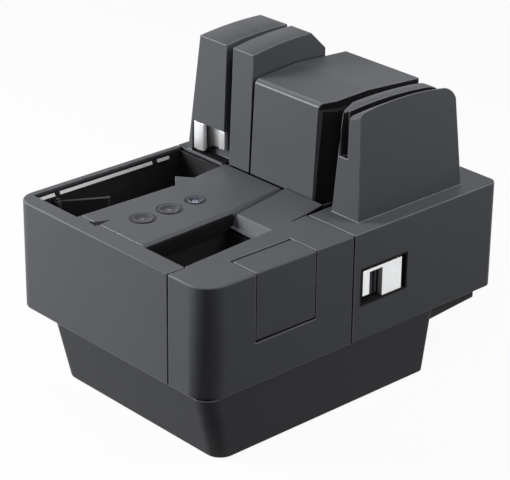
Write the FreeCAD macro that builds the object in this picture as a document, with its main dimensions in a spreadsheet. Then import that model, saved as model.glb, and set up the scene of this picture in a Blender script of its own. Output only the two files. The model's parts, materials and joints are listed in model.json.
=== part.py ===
import FreeCAD, Part
import math
import os
import types
import Sketcher

# Lengths are in millimetres. A height is counted from the surface that the scanner stands on.
SIZES = {
    # Whole body
    "body_width": 230.0,
    "body_depth": 316.0,
    "deck_height": 149.0,
    "skirt_bottom": 56.0,
    "skin": 3.0,
    "seam": 1.2,
    "loose_fit": 0.3,
    "shaft_fit": 0.06,
    "overrun": 2.0,
    "left_corner_radius": 16.0,
    "right_corner_radius": 20.0,
    "rear_corner_radius": 8.0,
    "edge_round": 1.5,
    # Lower case and feet
    "case_side_inset": 1.0,
    "case_floor": 3.5,
    "case_skin": 3.0,
    "case_corner_radius": 13.0,
    "case_back_corner_radius": 5.0,
    "tail_front_height": 42.5,
    "tail_back_height": 47.0,
    "foot_height": 2.5,
    "foot_radius": 8.0,
    "foot_inset": 22.0,
    "standoff_height": 2.0,
    "standoff_radius": 3.5,
    # Chassis plate
    "plate_thickness": 3.0,
    "plate_back_gap": 2.0,
    # Hopper on the left, pocket on the right
    "tray_wall": 2.0,
    "tray_floor": 98.0,
    "tray_floor_thickness": 4.0,
    "pocket_left_wall_top": 134.0,
    "pocket_back_wall_top": 134.0,
    "rib_proud": 1.6,
    "rib_width": 1.4,
    "rib_top": 138.0,
    # Track between the covers
    "track_gap": 5.0,
    "track_wall": 2.5,
    "turn_margin": 5.5,
    "document_top": 207.0,
    # Control plate
    "control_skirt": 14.0,
    "control_round": 4.5,
    "key_radius": 8.6,
    "power_key_radius": 6.6,
    "key_proud": 0.3,
    "key_dish": 1.3,
    "key_rim": 0.9,
    "key_flange": 1.3,
    "key_flange_thickness": 1.2,
    "key_flange_gap": 0.3,
    "key_stem_radius": 2.2,
    "key_stem_length": 2.0,
    "key_travel": 1.0,
    "switch_size": 6.0,
    "switch_height": 4.0,
    "board_thickness": 1.6,
    "board_half_width": 13.0,
    "board_margin": 15.0,
    "boss_radius": 2.6,
    # Exit cover beside the control plate
    "exit_front_height": 138.0,
    "exit_top_height": 146.2,
    "exit_slope": 7.0,
    # Corner cover with the imprinter door
    "door_slot": 2.5,
    "door_bottom": 92.0,
    "door_gap": 0.7,
    "door_barrel_radius": 2.4,
    "door_pin_radius": 1.2,
    "door_boss_width": 4.5,
    "door_boss_depth": 8.0,
    "bay_floor": 90.0,
    "bay_wall": 2.0,
    "cartridge_inset": 3.0,
    "cartridge_height": 42.0,
    "cartridge_nozzle": 6.0,
    # Middle covers
    "inner_cover_top": 254.6,
    "inner_cover_front_top": 250.0,
    "inner_cover_back_top": 238.0,
    "block_front_top": 227.6,
    "block_front_crest": 230.5,
    "block_top": 234.0,
    "block_back_top": 230.5,
    "block_chamfer": 2.7,
    "tower_lean": 4.0,
    "hood_height": 207.0,
    # Hinges of the two opening covers
    "hinge_barrel_radius": 8.0,
    "barrel_web_inset": 14.0,
    "hinge_pin_radius": 3.0,
    "hinge_pin_top": 138.0,
    "barrel_bottom": 60.0,
    # Left opening cover
    "left_tower_height": 254.2,
    "left_tower_front_height": 251.2,
    "lever_bay_top": 176.0,
    "lever_bay_depth": 10.0,
    "lever_bottom": 151.2,
    "lever_top": 175.0,
    "lever_thickness": 5.0,
    "lever_swell": 1.2,
    "lever_rise": 7.5,
    "lever_pivot_inset": 3.2,
    "lever_pin_radius": 1.2,
    "lever_pin_hold": 3.0,
    # Right opening cover
    "right_tower_side_lean": 3.5,
    "right_tower_top": 240.0,
    "right_shoulder_front": 233.2,
    "right_shoulder_reach": 5.4,
    "right_shoulder_height": 238.7,
    "right_crown_back_height": 237.0,
    "right_rear_height": 225.0,
    "card_slot_flare_depth": 7.0,
    "card_slot_floor": 197.5,
    "latch_bay_bottom": 87.0,
    "latch_bay_top": 117.0,
    "latch_bay_depth": 10.0,
    "latch_bottom": 88.0,
    "latch_top": 116.2,
    "latch_face_inset": 0.6,
    "latch_thickness": 5.5,
    "latch_grip_depth": 4.2,
    "latch_grip_top": 114.0,
    "latch_toe": 6.0,
    # Rear cover
    "rear_window_bottom": 62.0,
    "power_width": 12.0,
    "power_height": 11.0,
    "power_depth": 14.0,
    "power_hole_radius": 3.2,
    "power_hole_depth": 9.0,
    "data_width": 12.0,
    "data_height": 10.8,
    "data_depth": 16.0,
    "data_mouth_width": 8.6,
    "data_mouth_height": 7.8,
    "data_tongue_width": 5.6,
    "data_tongue_height": 3.2,
    "vent_width": 2.6,
    "vent_bottom": 68.0,
    "vent_top": 92.0,
    # Rollers, shafts, belt and motor
    "drive_radius": 10.0,
    "feed_radius": 12.5,
    "pinch_radius": 7.0,
    "nip": 0.35,
    "shaft_radius": 3.0,
    "axle_radius": 2.0,
    "roller_bottom": 108.0,
    "roller_top": 134.0,
    "roller_window": 1.0,
    "drive_shaft_top": 137.0,
    "lug_reach": 10.0,
    "lug_half_width": 9.0,
    "lug_gap": 1.2,
    "lug_thickness": 3.5,
    "pulley_radius": 9.0,
    "pulley_flange": 1.6,
    "pulley_flange_thickness": 1.2,
    "belt_bottom": 66.0,
    "belt_width": 8.0,
    "belt_gap": 0.35,
    "belt_thickness": 1.4,
    "motor_radius": 19.0,
    "motor_height": 34.0,
    "motor_shaft_radius": 2.5,
    "motor_flange": 3.0,
    # Sensors and head
    "sensor_width": 12.0,
    "sensor_depth": 11.0,
    "sensor_glass": 1.0,
    "head_width": 10.0,
    "head_height": 17.0,
    "head_depth": 9.0,
    "pad_length": 9.0,
    "pad_proud": 1.2,
    # Pusher in the hopper
    "pusher_length": 42.5,
    "pusher_thickness": 3.0,
    "pusher_bottom": 103.0,
    "pusher_top": 139.0,
    "pusher_barrel_radius": 3.2,
    "pusher_pin_radius": 1.5,
    "pusher_curl": 3.0,
    "strip_bottom": 142.0,
    "strip_height": 2.4,
    "strip_proud": 0.4,
}
# A share of the width places a point across, counted from the left face
ACROSS_SHARES = {
    "case_left_share": 0.173913,
    "hopper_left_share": 0.024783,
    "hopper_right_share": 0.269565,
    "gate_left_share": 0.230435,
    "pocket_left_front_share": 0.602609,
    "pocket_left_back_share": 0.582609,
    "pocket_right_front_share": 0.808696,
    "pocket_right_back_share": 0.778261,
    "left_track_share": 0.253261,
    "right_track_share": 0.761957,
    "frame_left_share": 0.217391,
    "frame_right_share": 0.795652,
    "guide_left_share": 0.252174,
    "guide_right_share": 0.76087,
    "control_right_front_share": 0.606087,
    "control_right_middle_share": 0.586522,
    "control_right_back_share": 0.558696,
    "control_left_back_share": 0.247826,
    "nose_root_share": 0.281304,
    "nose_reach_share": 0.218261,
    "nose_heel_share": 0.271739,
    "key_across_share": 0.426087,
    "exit_left_front_share": 0.592174,
    "exit_left_back_share": 0.563913,
    "exit_right_front_share": 0.775652,
    "exit_right_bend_share": 0.770435,
    "exit_channel_share": 0.760435,
    "exit_channel_back_share": 0.75087,
    "front_seam_across_share": 0.813043,
    "corner_inner_back_share": 0.767826,
    "door_slot_left_share": 0.869565,
    "bay_left_share": 0.856522,
    "bay_right_share": 0.966957,
    "inner_cover_right_share": 0.370435,
    "block_left_share": 0.378261,
    "block_right_front_share": 0.708696,
    "left_hinge_share": 0.215217,
    "right_hinge_share": 0.8,
    "left_tower_base_share": 0.04913,
    "left_tower_top_share": 0.101304,
    "lever_bay_left_share": 0.073913,
    "lever_left_share": 0.079565,
    "lever_right_share": 0.23913,
    "lever_scoop_left_share": 0.134783,
    "lever_scoop_right_share": 0.204348,
    "right_tower_side_share": 0.932609,
    "mouth_across_share": 0.802609,
    "mouth_top_share": 0.836087,
    "card_slot_left_share": 0.843478,
    "card_slot_right_share": 0.864783,
    "card_slot_flare_share": 0.827826,
    "power_across_share": 0.347826,
    "data_across_share": 0.452174,
    "vent_across_share": 0.556522,
    "vent_pitch_share": 0.026087,
    "feed_across_share": 0.273043,
    "pusher_across_share": 0.043478,
}
# A share of the depth places a point along, counted from the front face
ALONG_SHARES = {
    "case_front_top_share": 0.002532,
    "case_front_floor_share": 0.046203,
    "case_back_top_share": 0.781646,
    "case_back_floor_share": 0.753165,
    "tail_back_share": 0.949367,
    "hopper_front_share": 0.044304,
    "hopper_back_share": 0.528481,
    "pocket_front_share": 0.055696,
    "pocket_back_share": 0.338608,
    "frame_front_share": 0.548101,
    "frame_back_share": 0.905063,
    "guide_start_share": 0.772152,
    "control_bend_share": 0.35443,
    "control_back_share": 0.544937,
    "nose_start_share": 0.35538,
    "nose_tip_share": 0.393038,
    "nose_end_share": 0.425,
    "start_key_along_share": 0.15981,
    "stop_key_along_share": 0.24557,
    "power_key_along_share": 0.330696,
    "exit_bend_share": 0.433544,
    "side_seam_along_share": 0.481013,
    "door_front_share": 0.158228,
    "door_back_share": 0.35443,
    "inner_cover_crest_share": 0.762658,
    "inner_cover_back_left_share": 0.791139,
    "inner_cover_back_right_share": 0.816456,
    "block_flare_end_share": 0.588608,
    "block_crest_share": 0.702532,
    "block_back_share": 0.884494,
    "left_cover_front_share": 0.538608,
    "left_tower_front_share": 0.541139,
    "left_tower_back_outer_share": 0.764241,
    "left_tower_back_inner_share": 0.765823,
    "lever_face_share": 0.546203,
    "right_tower_front_share": 0.541139,
    "right_tower_back_share": 0.911392,
    "right_crown_back_share": 0.835443,
    "right_rear_top_share": 0.886076,
    "mouth_end_share": 0.607595,
    "latch_bay_front_share": 0.509494,
    "latch_bay_back_share": 0.667722,
    "latch_front_share": 0.515823,
    "latch_back_share": 0.653481,
    "latch_grip_front_share": 0.539557,
    "latch_grip_back_share": 0.583861,
    "side_roller_along_share": 0.632911,
    "feed_along_share": 0.392405,
    "motor_along_share": 0.474684,
    "sensor_along_share": 0.664557,
    "head_along_share": 0.558544,
    "pad_along_share": 0.553797,
    "pusher_along_share": 0.110759,
    "rib_pitch_share": 0.03481,
    "strip_first_start_share": 0.056962,
    "strip_first_end_share": 0.110759,
    "strip_second_start_share": 0.126582,
    "strip_second_end_share": 0.431962,
    "strip_third_start_share": 0.449367,
    "strip_third_end_share": 0.490506,
}
# The radius of an arc is a share of the straight line between its ends
ARCH_SHARES = {
    "crown_share": 5.24,
    "right_crown_share": 3.4,
    "rear_crown_share": 1.0,
    "shoulder_share": 0.75,
    "lever_scoop_share": 0.6875,
    "lever_swell_share": 1.1,
    "pusher_tip_share": 0.707,
}
PUSHER_ANGLE = 60.0
VENT_COUNT = 7
RIB_COUNT = 8
TOUCH = 0.05


class Size:
    """A length that keeps both its number and the expression that gives it in the document."""

    def __init__(self, value, text):
        self.value = value
        self.text = text

    def __add__(self, other):
        other = as_size(other)
        return Size(self.value + other.value, f"({self.text} + {other.text})")

    def __radd__(self, other):
        return as_size(other) + self

    def __sub__(self, other):
        other = as_size(other)
        return Size(self.value - other.value, f"({self.text} - {other.text})")

    def __rsub__(self, other):
        return as_size(other) - self

    def __mul__(self, other):
        other = as_size(other)
        return Size(self.value * other.value, f"({self.text} * {other.text})")

    def __rmul__(self, other):
        return as_size(other) * self

    def __truediv__(self, other):
        other = as_size(other)
        return Size(self.value / other.value, f"({self.text} / {other.text})")

    def __neg__(self):
        return as_size(0) - self


def as_size(number):
    if isinstance(number, Size):
        return number
    return Size(float(number), f"{number:.10g}")


def root(square):
    return Size(math.sqrt(square.value), f"sqrt({square.text})")


doc = FreeCAD.newDocument("ChequeScanner")
sheet = doc.addObject("Spreadsheet::Sheet", "Sizes")
named = SIZES | ACROSS_SHARES | ALONG_SHARES | ARCH_SHARES
for row, (alias, number) in enumerate(named.items(), 1):
    sheet.set(f"A{row}", alias)
    sheet.set(f"B{row}", str(number))
    sheet.setAlias(f"B{row}", alias)
doc.recompute()
d = types.SimpleNamespace(**{alias: Size(number, f"Sizes.{alias}") for alias, number in named.items()})
for shares, whole in ((ACROSS_SHARES, d.body_width), (ALONG_SHARES, d.body_depth)):
    for alias in shares:
        setattr(d, alias.removesuffix("_share"), whole * getattr(d, alias))
d.hinge_along = d.body_depth - d.hinge_barrel_radius
d.barrel_web = d.body_depth - d.barrel_web_inset
d.turn_place = d.frame_back - d.turn_margin - (d.right_track - d.left_track) / 2

left = -d.body_width / 2
right = d.body_width / 2
front = -d.body_depth / 2
back = d.body_depth / 2
NODES = []


def across(place):
    return left + place


def along(place):
    return front + place


def spot(x, y):
    """A corner given by its places across and along."""
    return (across(x), along(y))


def bind(thing, prop, size):
    thing.setExpression(prop, as_size(size).text)


def flat(point):
    return FreeCAD.Vector(as_size(point[0]).value, as_size(point[1]).value, 0)


class Turn:
    """An arc about a known centre. The end's coordinate named in follows comes from the circle."""

    def __init__(self, centre, end, follows, clockwise=False):
        self.centre = centre
        self.end = end
        self.follows = follows
        self.clockwise = clockwise

    def curve(self, start):
        return arc_curve(flat(self.centre), flat(start), flat(self.end), self.clockwise)

    def ties(self, index):
        return tie_point(index, 3, self.centre, "xy")


class Arch:
    """An arc from the last corner to its end. Its radius is a share of the straight line between."""

    def __init__(self, end, share, clockwise=False):
        self.end = end
        self.share = share
        self.follows = ""
        self.clockwise = clockwise

    def curve(self, start):
        step_x = self.end[0] - start[0]
        step_y = self.end[1] - start[1]
        self.radius = root(step_x * step_x + step_y * step_y) * self.share
        begin = flat(start)
        finish = flat(self.end)
        chord = finish - begin
        side = FreeCAD.Vector(-chord.y, chord.x, 0).normalize()
        rise = math.sqrt(self.radius.value ** 2 - (chord.Length / 2) ** 2)
        centre = (begin + finish) / 2 + side * (-rise if self.clockwise else rise)
        return arc_curve(centre, begin, finish, self.clockwise)

    def ties(self, index):
        return [(Sketcher.Constraint("Radius", index, self.radius.value), self.radius)]


class Ring:
    """A full circle."""

    def __init__(self, centre, radius):
        self.centre = centre
        self.radius = radius


def arc_curve(centre, begin, finish, clockwise):
    first = math.atan2(begin.y - centre.y, begin.x - centre.x)
    last = math.atan2(finish.y - centre.y, finish.x - centre.x)
    if clockwise:
        first, last = last, first
    if last <= first:
        last += 2 * math.pi
    circle = Part.Circle(centre, FreeCAD.Vector(0, 0, 1), (begin - centre).Length)
    return Part.ArcOfCircle(circle, first, last)


def tie_point(index, mark, point, letters):
    ties = []
    if "x" in letters:
        place = as_size(point[0])
        ties.append((Sketcher.Constraint("DistanceX", -1, 1, index, mark, place.value), place))
    if "y" in letters:
        place = as_size(point[1])
        ties.append((Sketcher.Constraint("DistanceY", -1, 1, index, mark, place.value), place))
    return ties


def add_ties(sketch, ties):
    first = sketch.ConstraintCount
    sketch.addConstraint([constraint for constraint, size in ties])
    for number, (constraint, size) in enumerate(ties, first):
        if size is not None:
            bind(sketch, f"Constraints[{number}]", size)


def add_outline(sketch, outline):
    """Draws a closed outline in a sketch and ties each corner to the sizes."""
    base = sketch.GeometryCount
    if isinstance(outline, Ring):
        circle = Part.Circle(flat(outline.centre), FreeCAD.Vector(0, 0, 1), outline.radius.value)
        sketch.addGeometry(circle, False)
        ties = tie_point(base, 3, outline.centre, "xy")
        ties.append((Sketcher.Constraint("Radius", base, outline.radius.value), outline.radius))
        add_ties(sketch, ties)
        return
    curves = []
    ties = []
    marks = []
    here = outline[0]
    steps = outline[1:]
    closes = not isinstance(steps[-1], tuple) and flat(steps[-1].end).isEqual(flat(here), TOUCH)
    if not closes:
        steps = steps + [here]
    free = steps[-1].follows if closes else ""
    for index, step in enumerate(steps, base):
        if isinstance(step, tuple):
            end = step
            follows = ""
            clockwise = False
            curves.append(Part.LineSegment(flat(here), flat(end)))
        else:
            end = step.end
            follows = step.follows
            clockwise = step.clockwise
            curves.append(step.curve(here))
            ties.extend(step.ties(index))
        marks.append((2, 1) if clockwise else (1, 2))
        letters = "xy".replace(free, "") if free else "xy"
        ties.extend(tie_point(index, marks[-1][0], here, letters))
        here = end
        free = follows
    count = len(curves)
    for number in range(count):
        after = (number + 1) % count
        ends_meet = Sketcher.Constraint(
            "Coincident", base + number, marks[number][1], base + after, marks[after][0]
        )
        ties.append((ends_meet, None))
    sketch.addGeometry(curves, False)
    add_ties(sketch, ties)


def near_edge(shape, point):
    """The name of the edge of a shape that passes through a point."""
    vertex = Part.Vertex(*[as_size(place).value for place in point])
    gaps = [edge.distToShape(vertex)[0] for edge in shape.Edges]
    nearest = min(range(len(gaps)), key=gaps.__getitem__)
    if gaps[nearest] > TOUCH:
        raise RuntimeError(f"no edge passes through {point[0].text}, {point[1].text}")
    return f"Edge{nearest + 1}"


class Moulding:
    """A body that is built up by pads and cut by pockets, each drawn on one of its own planes."""

    def __init__(self, label):
        self.body = doc.addObject("PartDesign::Body", label)
        self.body.Label = label
        self.label = label
        self.steps = 0
        self.volume = 0.0
        NODES.append(self.body)

    def draw(self, plane, offset, outlines):
        self.steps += 1
        sketch = self.body.newObject("Sketcher::SketchObject", f"{self.label}_sketch_{self.steps}")
        datum = next(each for each in self.body.Origin.OriginFeatures if each.Role == plane)
        sketch.AttachmentSupport = [(datum, "")]
        sketch.MapMode = "FlatFace"
        bind(sketch, "AttachmentOffset.Base.z", offset)
        for outline in outlines:
            add_outline(sketch, outline)
        return sketch

    def settle(self, grows):
        doc.recompute()
        volume = self.body.Tip.Shape.Volume
        if (volume > self.volume) != grows:
            raise RuntimeError(f"{self.label}: step {self.steps} missed the solid")
        self.volume = volume

    def pad(self, outlines, low, high, plane="XY_Plane"):
        """Adds material between two places along the axis that the plane faces."""
        sketch = self.draw(plane, -high if plane == "XZ_Plane" else low, outlines)
        feature = self.body.newObject("PartDesign::Pad", f"{self.label}_pad_{self.steps}")
        feature.Profile = sketch
        bind(feature, "Length", high - low)
        self.settle(True)
        return self

    def pocket(self, outlines, low, high, plane="XY_Plane"):
        """Cuts material away between two places along the axis that the plane faces."""
        sketch = self.draw(plane, -low if plane == "XZ_Plane" else high, outlines)
        feature = self.body.newObject("PartDesign::Pocket", f"{self.label}_pocket_{self.steps}")
        feature.Profile = sketch
        bind(feature, "Length", high - low)
        self.settle(False)
        return self

    def loft(self, lower, low, upper, high, hollow=False):
        """Joins two outlines at two heights with straight sides."""
        first = self.draw("XY_Plane", low, [lower])
        second = self.draw("XY_Plane", high, [upper])
        kind = "PartDesign::SubtractiveLoft" if hollow else "PartDesign::AdditiveLoft"
        feature = self.body.newObject(kind, f"{self.label}_loft_{self.steps}")
        feature.Profile = first
        feature.Sections = [second]
        feature.Ruled = True
        self.settle(not hollow)
        return self

    def revolve(self, outline):
        """Turns an outline of radii and heights about the body's own upright axis."""
        sketch = self.draw("XZ_Plane", 0, [outline])
        feature = self.body.newObject("PartDesign::Revolution", f"{self.label}_turned_{self.steps}")
        feature.Profile = sketch
        feature.ReferenceAxis = (sketch, ["V_Axis"])
        feature.Angle = 360
        self.settle(True)
        return self

    def round(self, radius, *points):
        """Rounds the edges that pass through the points."""
        base = self.body.Tip
        names = [near_edge(base.Shape, point) for point in points]
        self.steps += 1
        feature = self.body.newObject("PartDesign::Fillet", f"{self.label}_round_{self.steps}")
        feature.Base = (base, sorted(set(names)))
        bind(feature, "Radius", radius)
        doc.recompute()
        self.volume = self.body.Tip.Shape.Volume
        return self

    def chamfer(self, size, *points):
        """Bevels the edges that pass through the points."""
        base = self.body.Tip
        names = [near_edge(base.Shape, point) for point in points]
        self.steps += 1
        feature = self.body.newObject("PartDesign::Chamfer", f"{self.label}_bevel_{self.steps}")
        feature.Base = (base, sorted(set(names)))
        bind(feature, "Size", size)
        doc.recompute()
        self.volume = self.body.Tip.Shape.Volume
        return self

    def place(self, x, y):
        bind(self.body, "Placement.Base.x", x)
        bind(self.body, "Placement.Base.y", y)
        return self


AXIS_TURNS = {
    "X": FreeCAD.Rotation(FreeCAD.Vector(0, 1, 0), 90),
    "Y": FreeCAD.Rotation(FreeCAD.Vector(1, 0, 0), -90),
    "Z": FreeCAD.Rotation(),
}


def block(name, x, y, z):
    """A box between two places on each axis."""
    box = doc.addObject("Part::Box", name)
    for side, span, letter in (("Length", x, "x"), ("Width", y, "y"), ("Height", z, "z")):
        bind(box, side, span[1] - span[0])
        bind(box, f"Placement.Base.{letter}", span[0])
    return box


def rod(name, radius, start, length, axis="Z"):
    """A cylinder from a start point along an axis."""
    cylinder = doc.addObject("Part::Cylinder", name)
    cylinder.Placement.Rotation = AXIS_TURNS[axis]
    bind(cylinder, "Radius", radius)
    bind(cylinder, "Height", length)
    for letter, place in zip("xyz", start):
        bind(cylinder, f"Placement.Base.{letter}", place)
    return cylinder


def cut(name, base, *tools):
    """A solid less its tools."""
    if len(tools) == 1:
        taken = tools[0]
    else:
        taken = doc.addObject("Part::MultiFuse", f"{name}_tools")
        taken.Shapes = list(tools)
    result = doc.addObject("Part::Cut", name)
    result.Base = base
    result.Tool = taken
    return result


def fuse(name, *pieces):
    result = doc.addObject("Part::MultiFuse", name)
    result.Shapes = list(pieces)
    return result


def group(name, *pieces):
    """Separate solids that share one node."""
    result = doc.addObject("Part::Compound", name)
    result.Links = list(pieces)
    return result


def node(thing, label):
    thing.Label = label
    NODES.append(thing)
    return thing


# Places that several pieces share
deck = d.deck_height
deck_under = deck - d.skin
case_bottom = d.foot_height
plate_top = d.skirt_bottom + d.plate_thickness
cover_bottom = d.skirt_bottom + d.loose_fit
tray_bottom = d.tray_floor - d.tray_floor_thickness
half_gap = d.track_gap / 2
left_inner = d.left_track + half_gap
left_outer = d.left_track - half_gap
right_inner = d.right_track - half_gap
right_outer = d.right_track + half_gap
turn_across = (d.left_track + d.right_track) / 2
turn_radius = (d.right_track - d.left_track) / 2
inner_radius = turn_radius - half_gap
outer_radius = turn_radius + half_gap
turn_centre = spot(turn_across, d.turn_place)
middle_height = (deck + d.skirt_bottom) / 2
front_cover_end = d.front_seam_across - d.seam / 2
corner_cover_start = d.front_seam_across + d.seam / 2
corner_cover_end = d.side_seam_along - d.seam / 2
right_cover_start = d.side_seam_along + d.seam / 2
left_drive = spot(d.left_track + d.nip / 2 + d.drive_radius, d.side_roller_along)
right_drive = spot(d.right_track - d.nip / 2 - d.drive_radius, d.side_roller_along)
rear_drive = spot(turn_across, d.turn_place + turn_radius - d.nip / 2 - d.drive_radius)
feed_drive = spot(d.feed_across, d.feed_along)
motor_spot = spot(turn_across, d.motor_along)
left_pinch = spot(d.left_track - d.nip / 2 - d.pinch_radius, d.side_roller_along)
right_pinch = spot(d.right_track + d.nip / 2 + d.pinch_radius, d.side_roller_along)
rear_pinch = spot(turn_across, d.turn_place + turn_radius + d.nip / 2 + d.pinch_radius)
drive_spots = (feed_drive, left_drive, rear_drive, right_drive)
hinge_spots = (spot(d.left_hinge, d.hinge_along), spot(d.right_hinge, d.hinge_along))
window_low = d.roller_bottom - d.roller_window
window_high = d.roller_top + d.roller_window


def box_outline(x_low, y_low, x_high, y_high):
    return [(x_low, y_low), (x_high, y_low), (x_high, y_high), (x_low, y_high)]


def rounded_outline(x_low, y_low, x_high, y_high, front_left, front_right, back_right, back_left):
    """A box outline with a radius, or None for a sharp corner, at each of its corners."""
    outline = []
    if front_left is None:
        outline.append((x_low, y_low))
    else:
        outline.append((x_low + front_left, y_low))
    if front_right is None:
        outline.append((x_high, y_low))
    else:
        centre = (x_high - front_right, y_low + front_right)
        outline.append((centre[0], y_low))
        outline.append(Turn(centre, (x_high, centre[1]), "x"))
    if back_right is None:
        outline.append((x_high, y_high))
    else:
        centre = (x_high - back_right, y_high - back_right)
        outline.append((x_high, centre[1]))
        outline.append(Turn(centre, (centre[0], y_high), "y"))
    if back_left is None:
        outline.append((x_low, y_high))
    else:
        centre = (x_low + back_left, y_high - back_left)
        outline.append((centre[0], y_high))
        outline.append(Turn(centre, (x_low, centre[1]), "x"))
    if front_left is not None:
        centre = (x_low + front_left, y_low + front_left)
        outline.append((x_low, centre[1]))
        outline.append(Turn(centre, (centre[0], y_low), "y"))
    return outline


def case_outline(x_low, y_low, x_high, y_high, wall=0):
    """Outline of the lower case, or of its hollow, at one height."""
    near = d.case_corner_radius - wall
    far = d.case_back_corner_radius - wall
    return rounded_outline(x_low, y_low, x_high, y_high, near, near, far, far)


def build_lower_case():
    """Tub that the scanner stands on. Its front leans in and its tail runs back under the body."""
    case = Moulding("lower_case")
    x_low = across(d.case_left)
    x_high = right - d.case_side_inset
    y_front = along(d.case_front_floor)
    y_back = along(d.case_back_floor)
    top_front = along(d.case_front_top)
    top_back = along(d.case_back_top)
    front_round = d.case_corner_radius
    back_round = d.case_back_corner_radius
    case.loft(
        case_outline(x_low, y_front, x_high, y_back),
        case_bottom,
        case_outline(x_low, top_front, x_high, top_back),
        d.skirt_bottom,
    )
    tail = [
        (y_back - front_round, d.tail_front_height),
        (y_back, d.tail_front_height),
        (along(d.tail_back), d.tail_back_height),
        (along(d.tail_back), d.skirt_bottom),
        (y_back - front_round, d.skirt_bottom),
    ]
    case.pad([tail], x_low + back_round, x_high - back_round, "YZ_Plane")
    wall = d.case_skin
    x_low = x_low + wall
    x_high = x_high - wall
    case.loft(
        case_outline(x_low, y_front + wall, x_high, y_back - wall, wall),
        case_bottom + d.case_floor,
        case_outline(x_low, top_front + wall, x_high, top_back - wall, wall),
        d.skirt_bottom,
        hollow=True,
    )
    posts = [Ring(place, d.standoff_radius) for place in board_corners()]
    case.pad(posts, case_bottom + d.case_floor, case_bottom + d.case_floor + d.standoff_height)


def board_corners():
    """The four posts of the main board, inside the lower case."""
    inset = d.foot_inset + d.foot_radius
    x_low = across(d.case_left) + inset
    x_high = right - d.case_side_inset - inset
    y_low = along(d.case_front_floor) + inset
    y_high = along(d.case_back_floor) - inset
    return [(x_low, y_low), (x_high, y_low), (x_high, y_high), (x_low, y_high)]


def base_corners(inset):
    """Four places on the underside, each the same distance in from the lower case's edges."""
    x_low = across(d.case_left) + inset
    x_high = right - d.case_side_inset - inset
    y_low = along(d.case_front_floor) + inset
    y_high = along(d.case_back_floor) - inset
    return [(x_low, y_low), (x_high, y_low), (x_high, y_high), (x_low, y_high)]


def build_feet():
    feet = []
    for number, (x, y) in enumerate(base_corners(d.foot_inset), 1):
        feet.append(rod(f"foot_{number}", d.foot_radius, (x, y, 0), d.foot_height))
    node(group("rubber_feet", *feet), "rubber_feet")


def build_chassis_plate():
    """Metal plate across the body. It carries the shafts, the hinge pins and the trays."""
    plate = Moulding("chassis_plate")
    gap = d.skin + d.loose_fit
    outline = box_outline(left + gap, front + gap, right - gap, back - d.skin - d.plate_back_gap)
    plate.pad([outline], d.skirt_bottom, plate_top)
    plate.round(
        d.left_corner_radius - gap,
        (left + gap, front + gap, d.skirt_bottom + d.plate_thickness / 2),
    )
    plate.round(
        d.right_corner_radius - gap,
        (right - gap, front + gap, d.skirt_bottom + d.plate_thickness / 2),
    )
    plate_back = back - d.skin - d.plate_back_gap
    plate.round(
        d.rear_corner_radius - d.skin,
        (left + gap, plate_back, d.skirt_bottom + d.plate_thickness / 2),
        (right - gap, plate_back, d.skirt_bottom + d.plate_thickness / 2),
    )
    holes = [Ring(place, d.shaft_radius + d.shaft_fit) for place in drive_spots]
    holes += [Ring(place, d.hinge_pin_radius + d.shaft_fit) for place in hinge_spots]
    holes.append(Ring(motor_spot, d.motor_shaft_radius + d.shaft_fit))
    plate.pocket(holes, d.skirt_bottom - d.overrun, plate_top + d.overrun)


def build_front_cover():
    """Front wall, left wall and the rim round the hopper, in one moulding."""
    cover = Moulding("front_cover")
    outline = [
        (left, along(d.hopper_back) + d.tray_wall),
        (left, front),
        (across(front_cover_end), front),
        (across(front_cover_end), along(d.pocket_front)),
        spot(d.hopper_right, d.pocket_front),
        spot(d.hopper_right, d.hopper_front),
        spot(d.hopper_left, d.hopper_front),
        (across(d.hopper_left), along(d.hopper_back) + d.tray_wall),
    ]
    cover.pad([outline], d.skirt_bottom, deck)
    cover.round(d.left_corner_radius, (left, front, middle_height))
    inner_round = d.left_corner_radius - d.skin
    hollow = rounded_outline(
        left + d.skin, front + d.skin, right, along(d.tail_back), inner_round, None, None, None
    )
    cover.pocket([hollow], d.skirt_bottom - d.overrun, deck_under)
    cover.round(d.edge_round, (0, front, deck), (left, along(d.hopper_back) / 2, deck))


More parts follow.
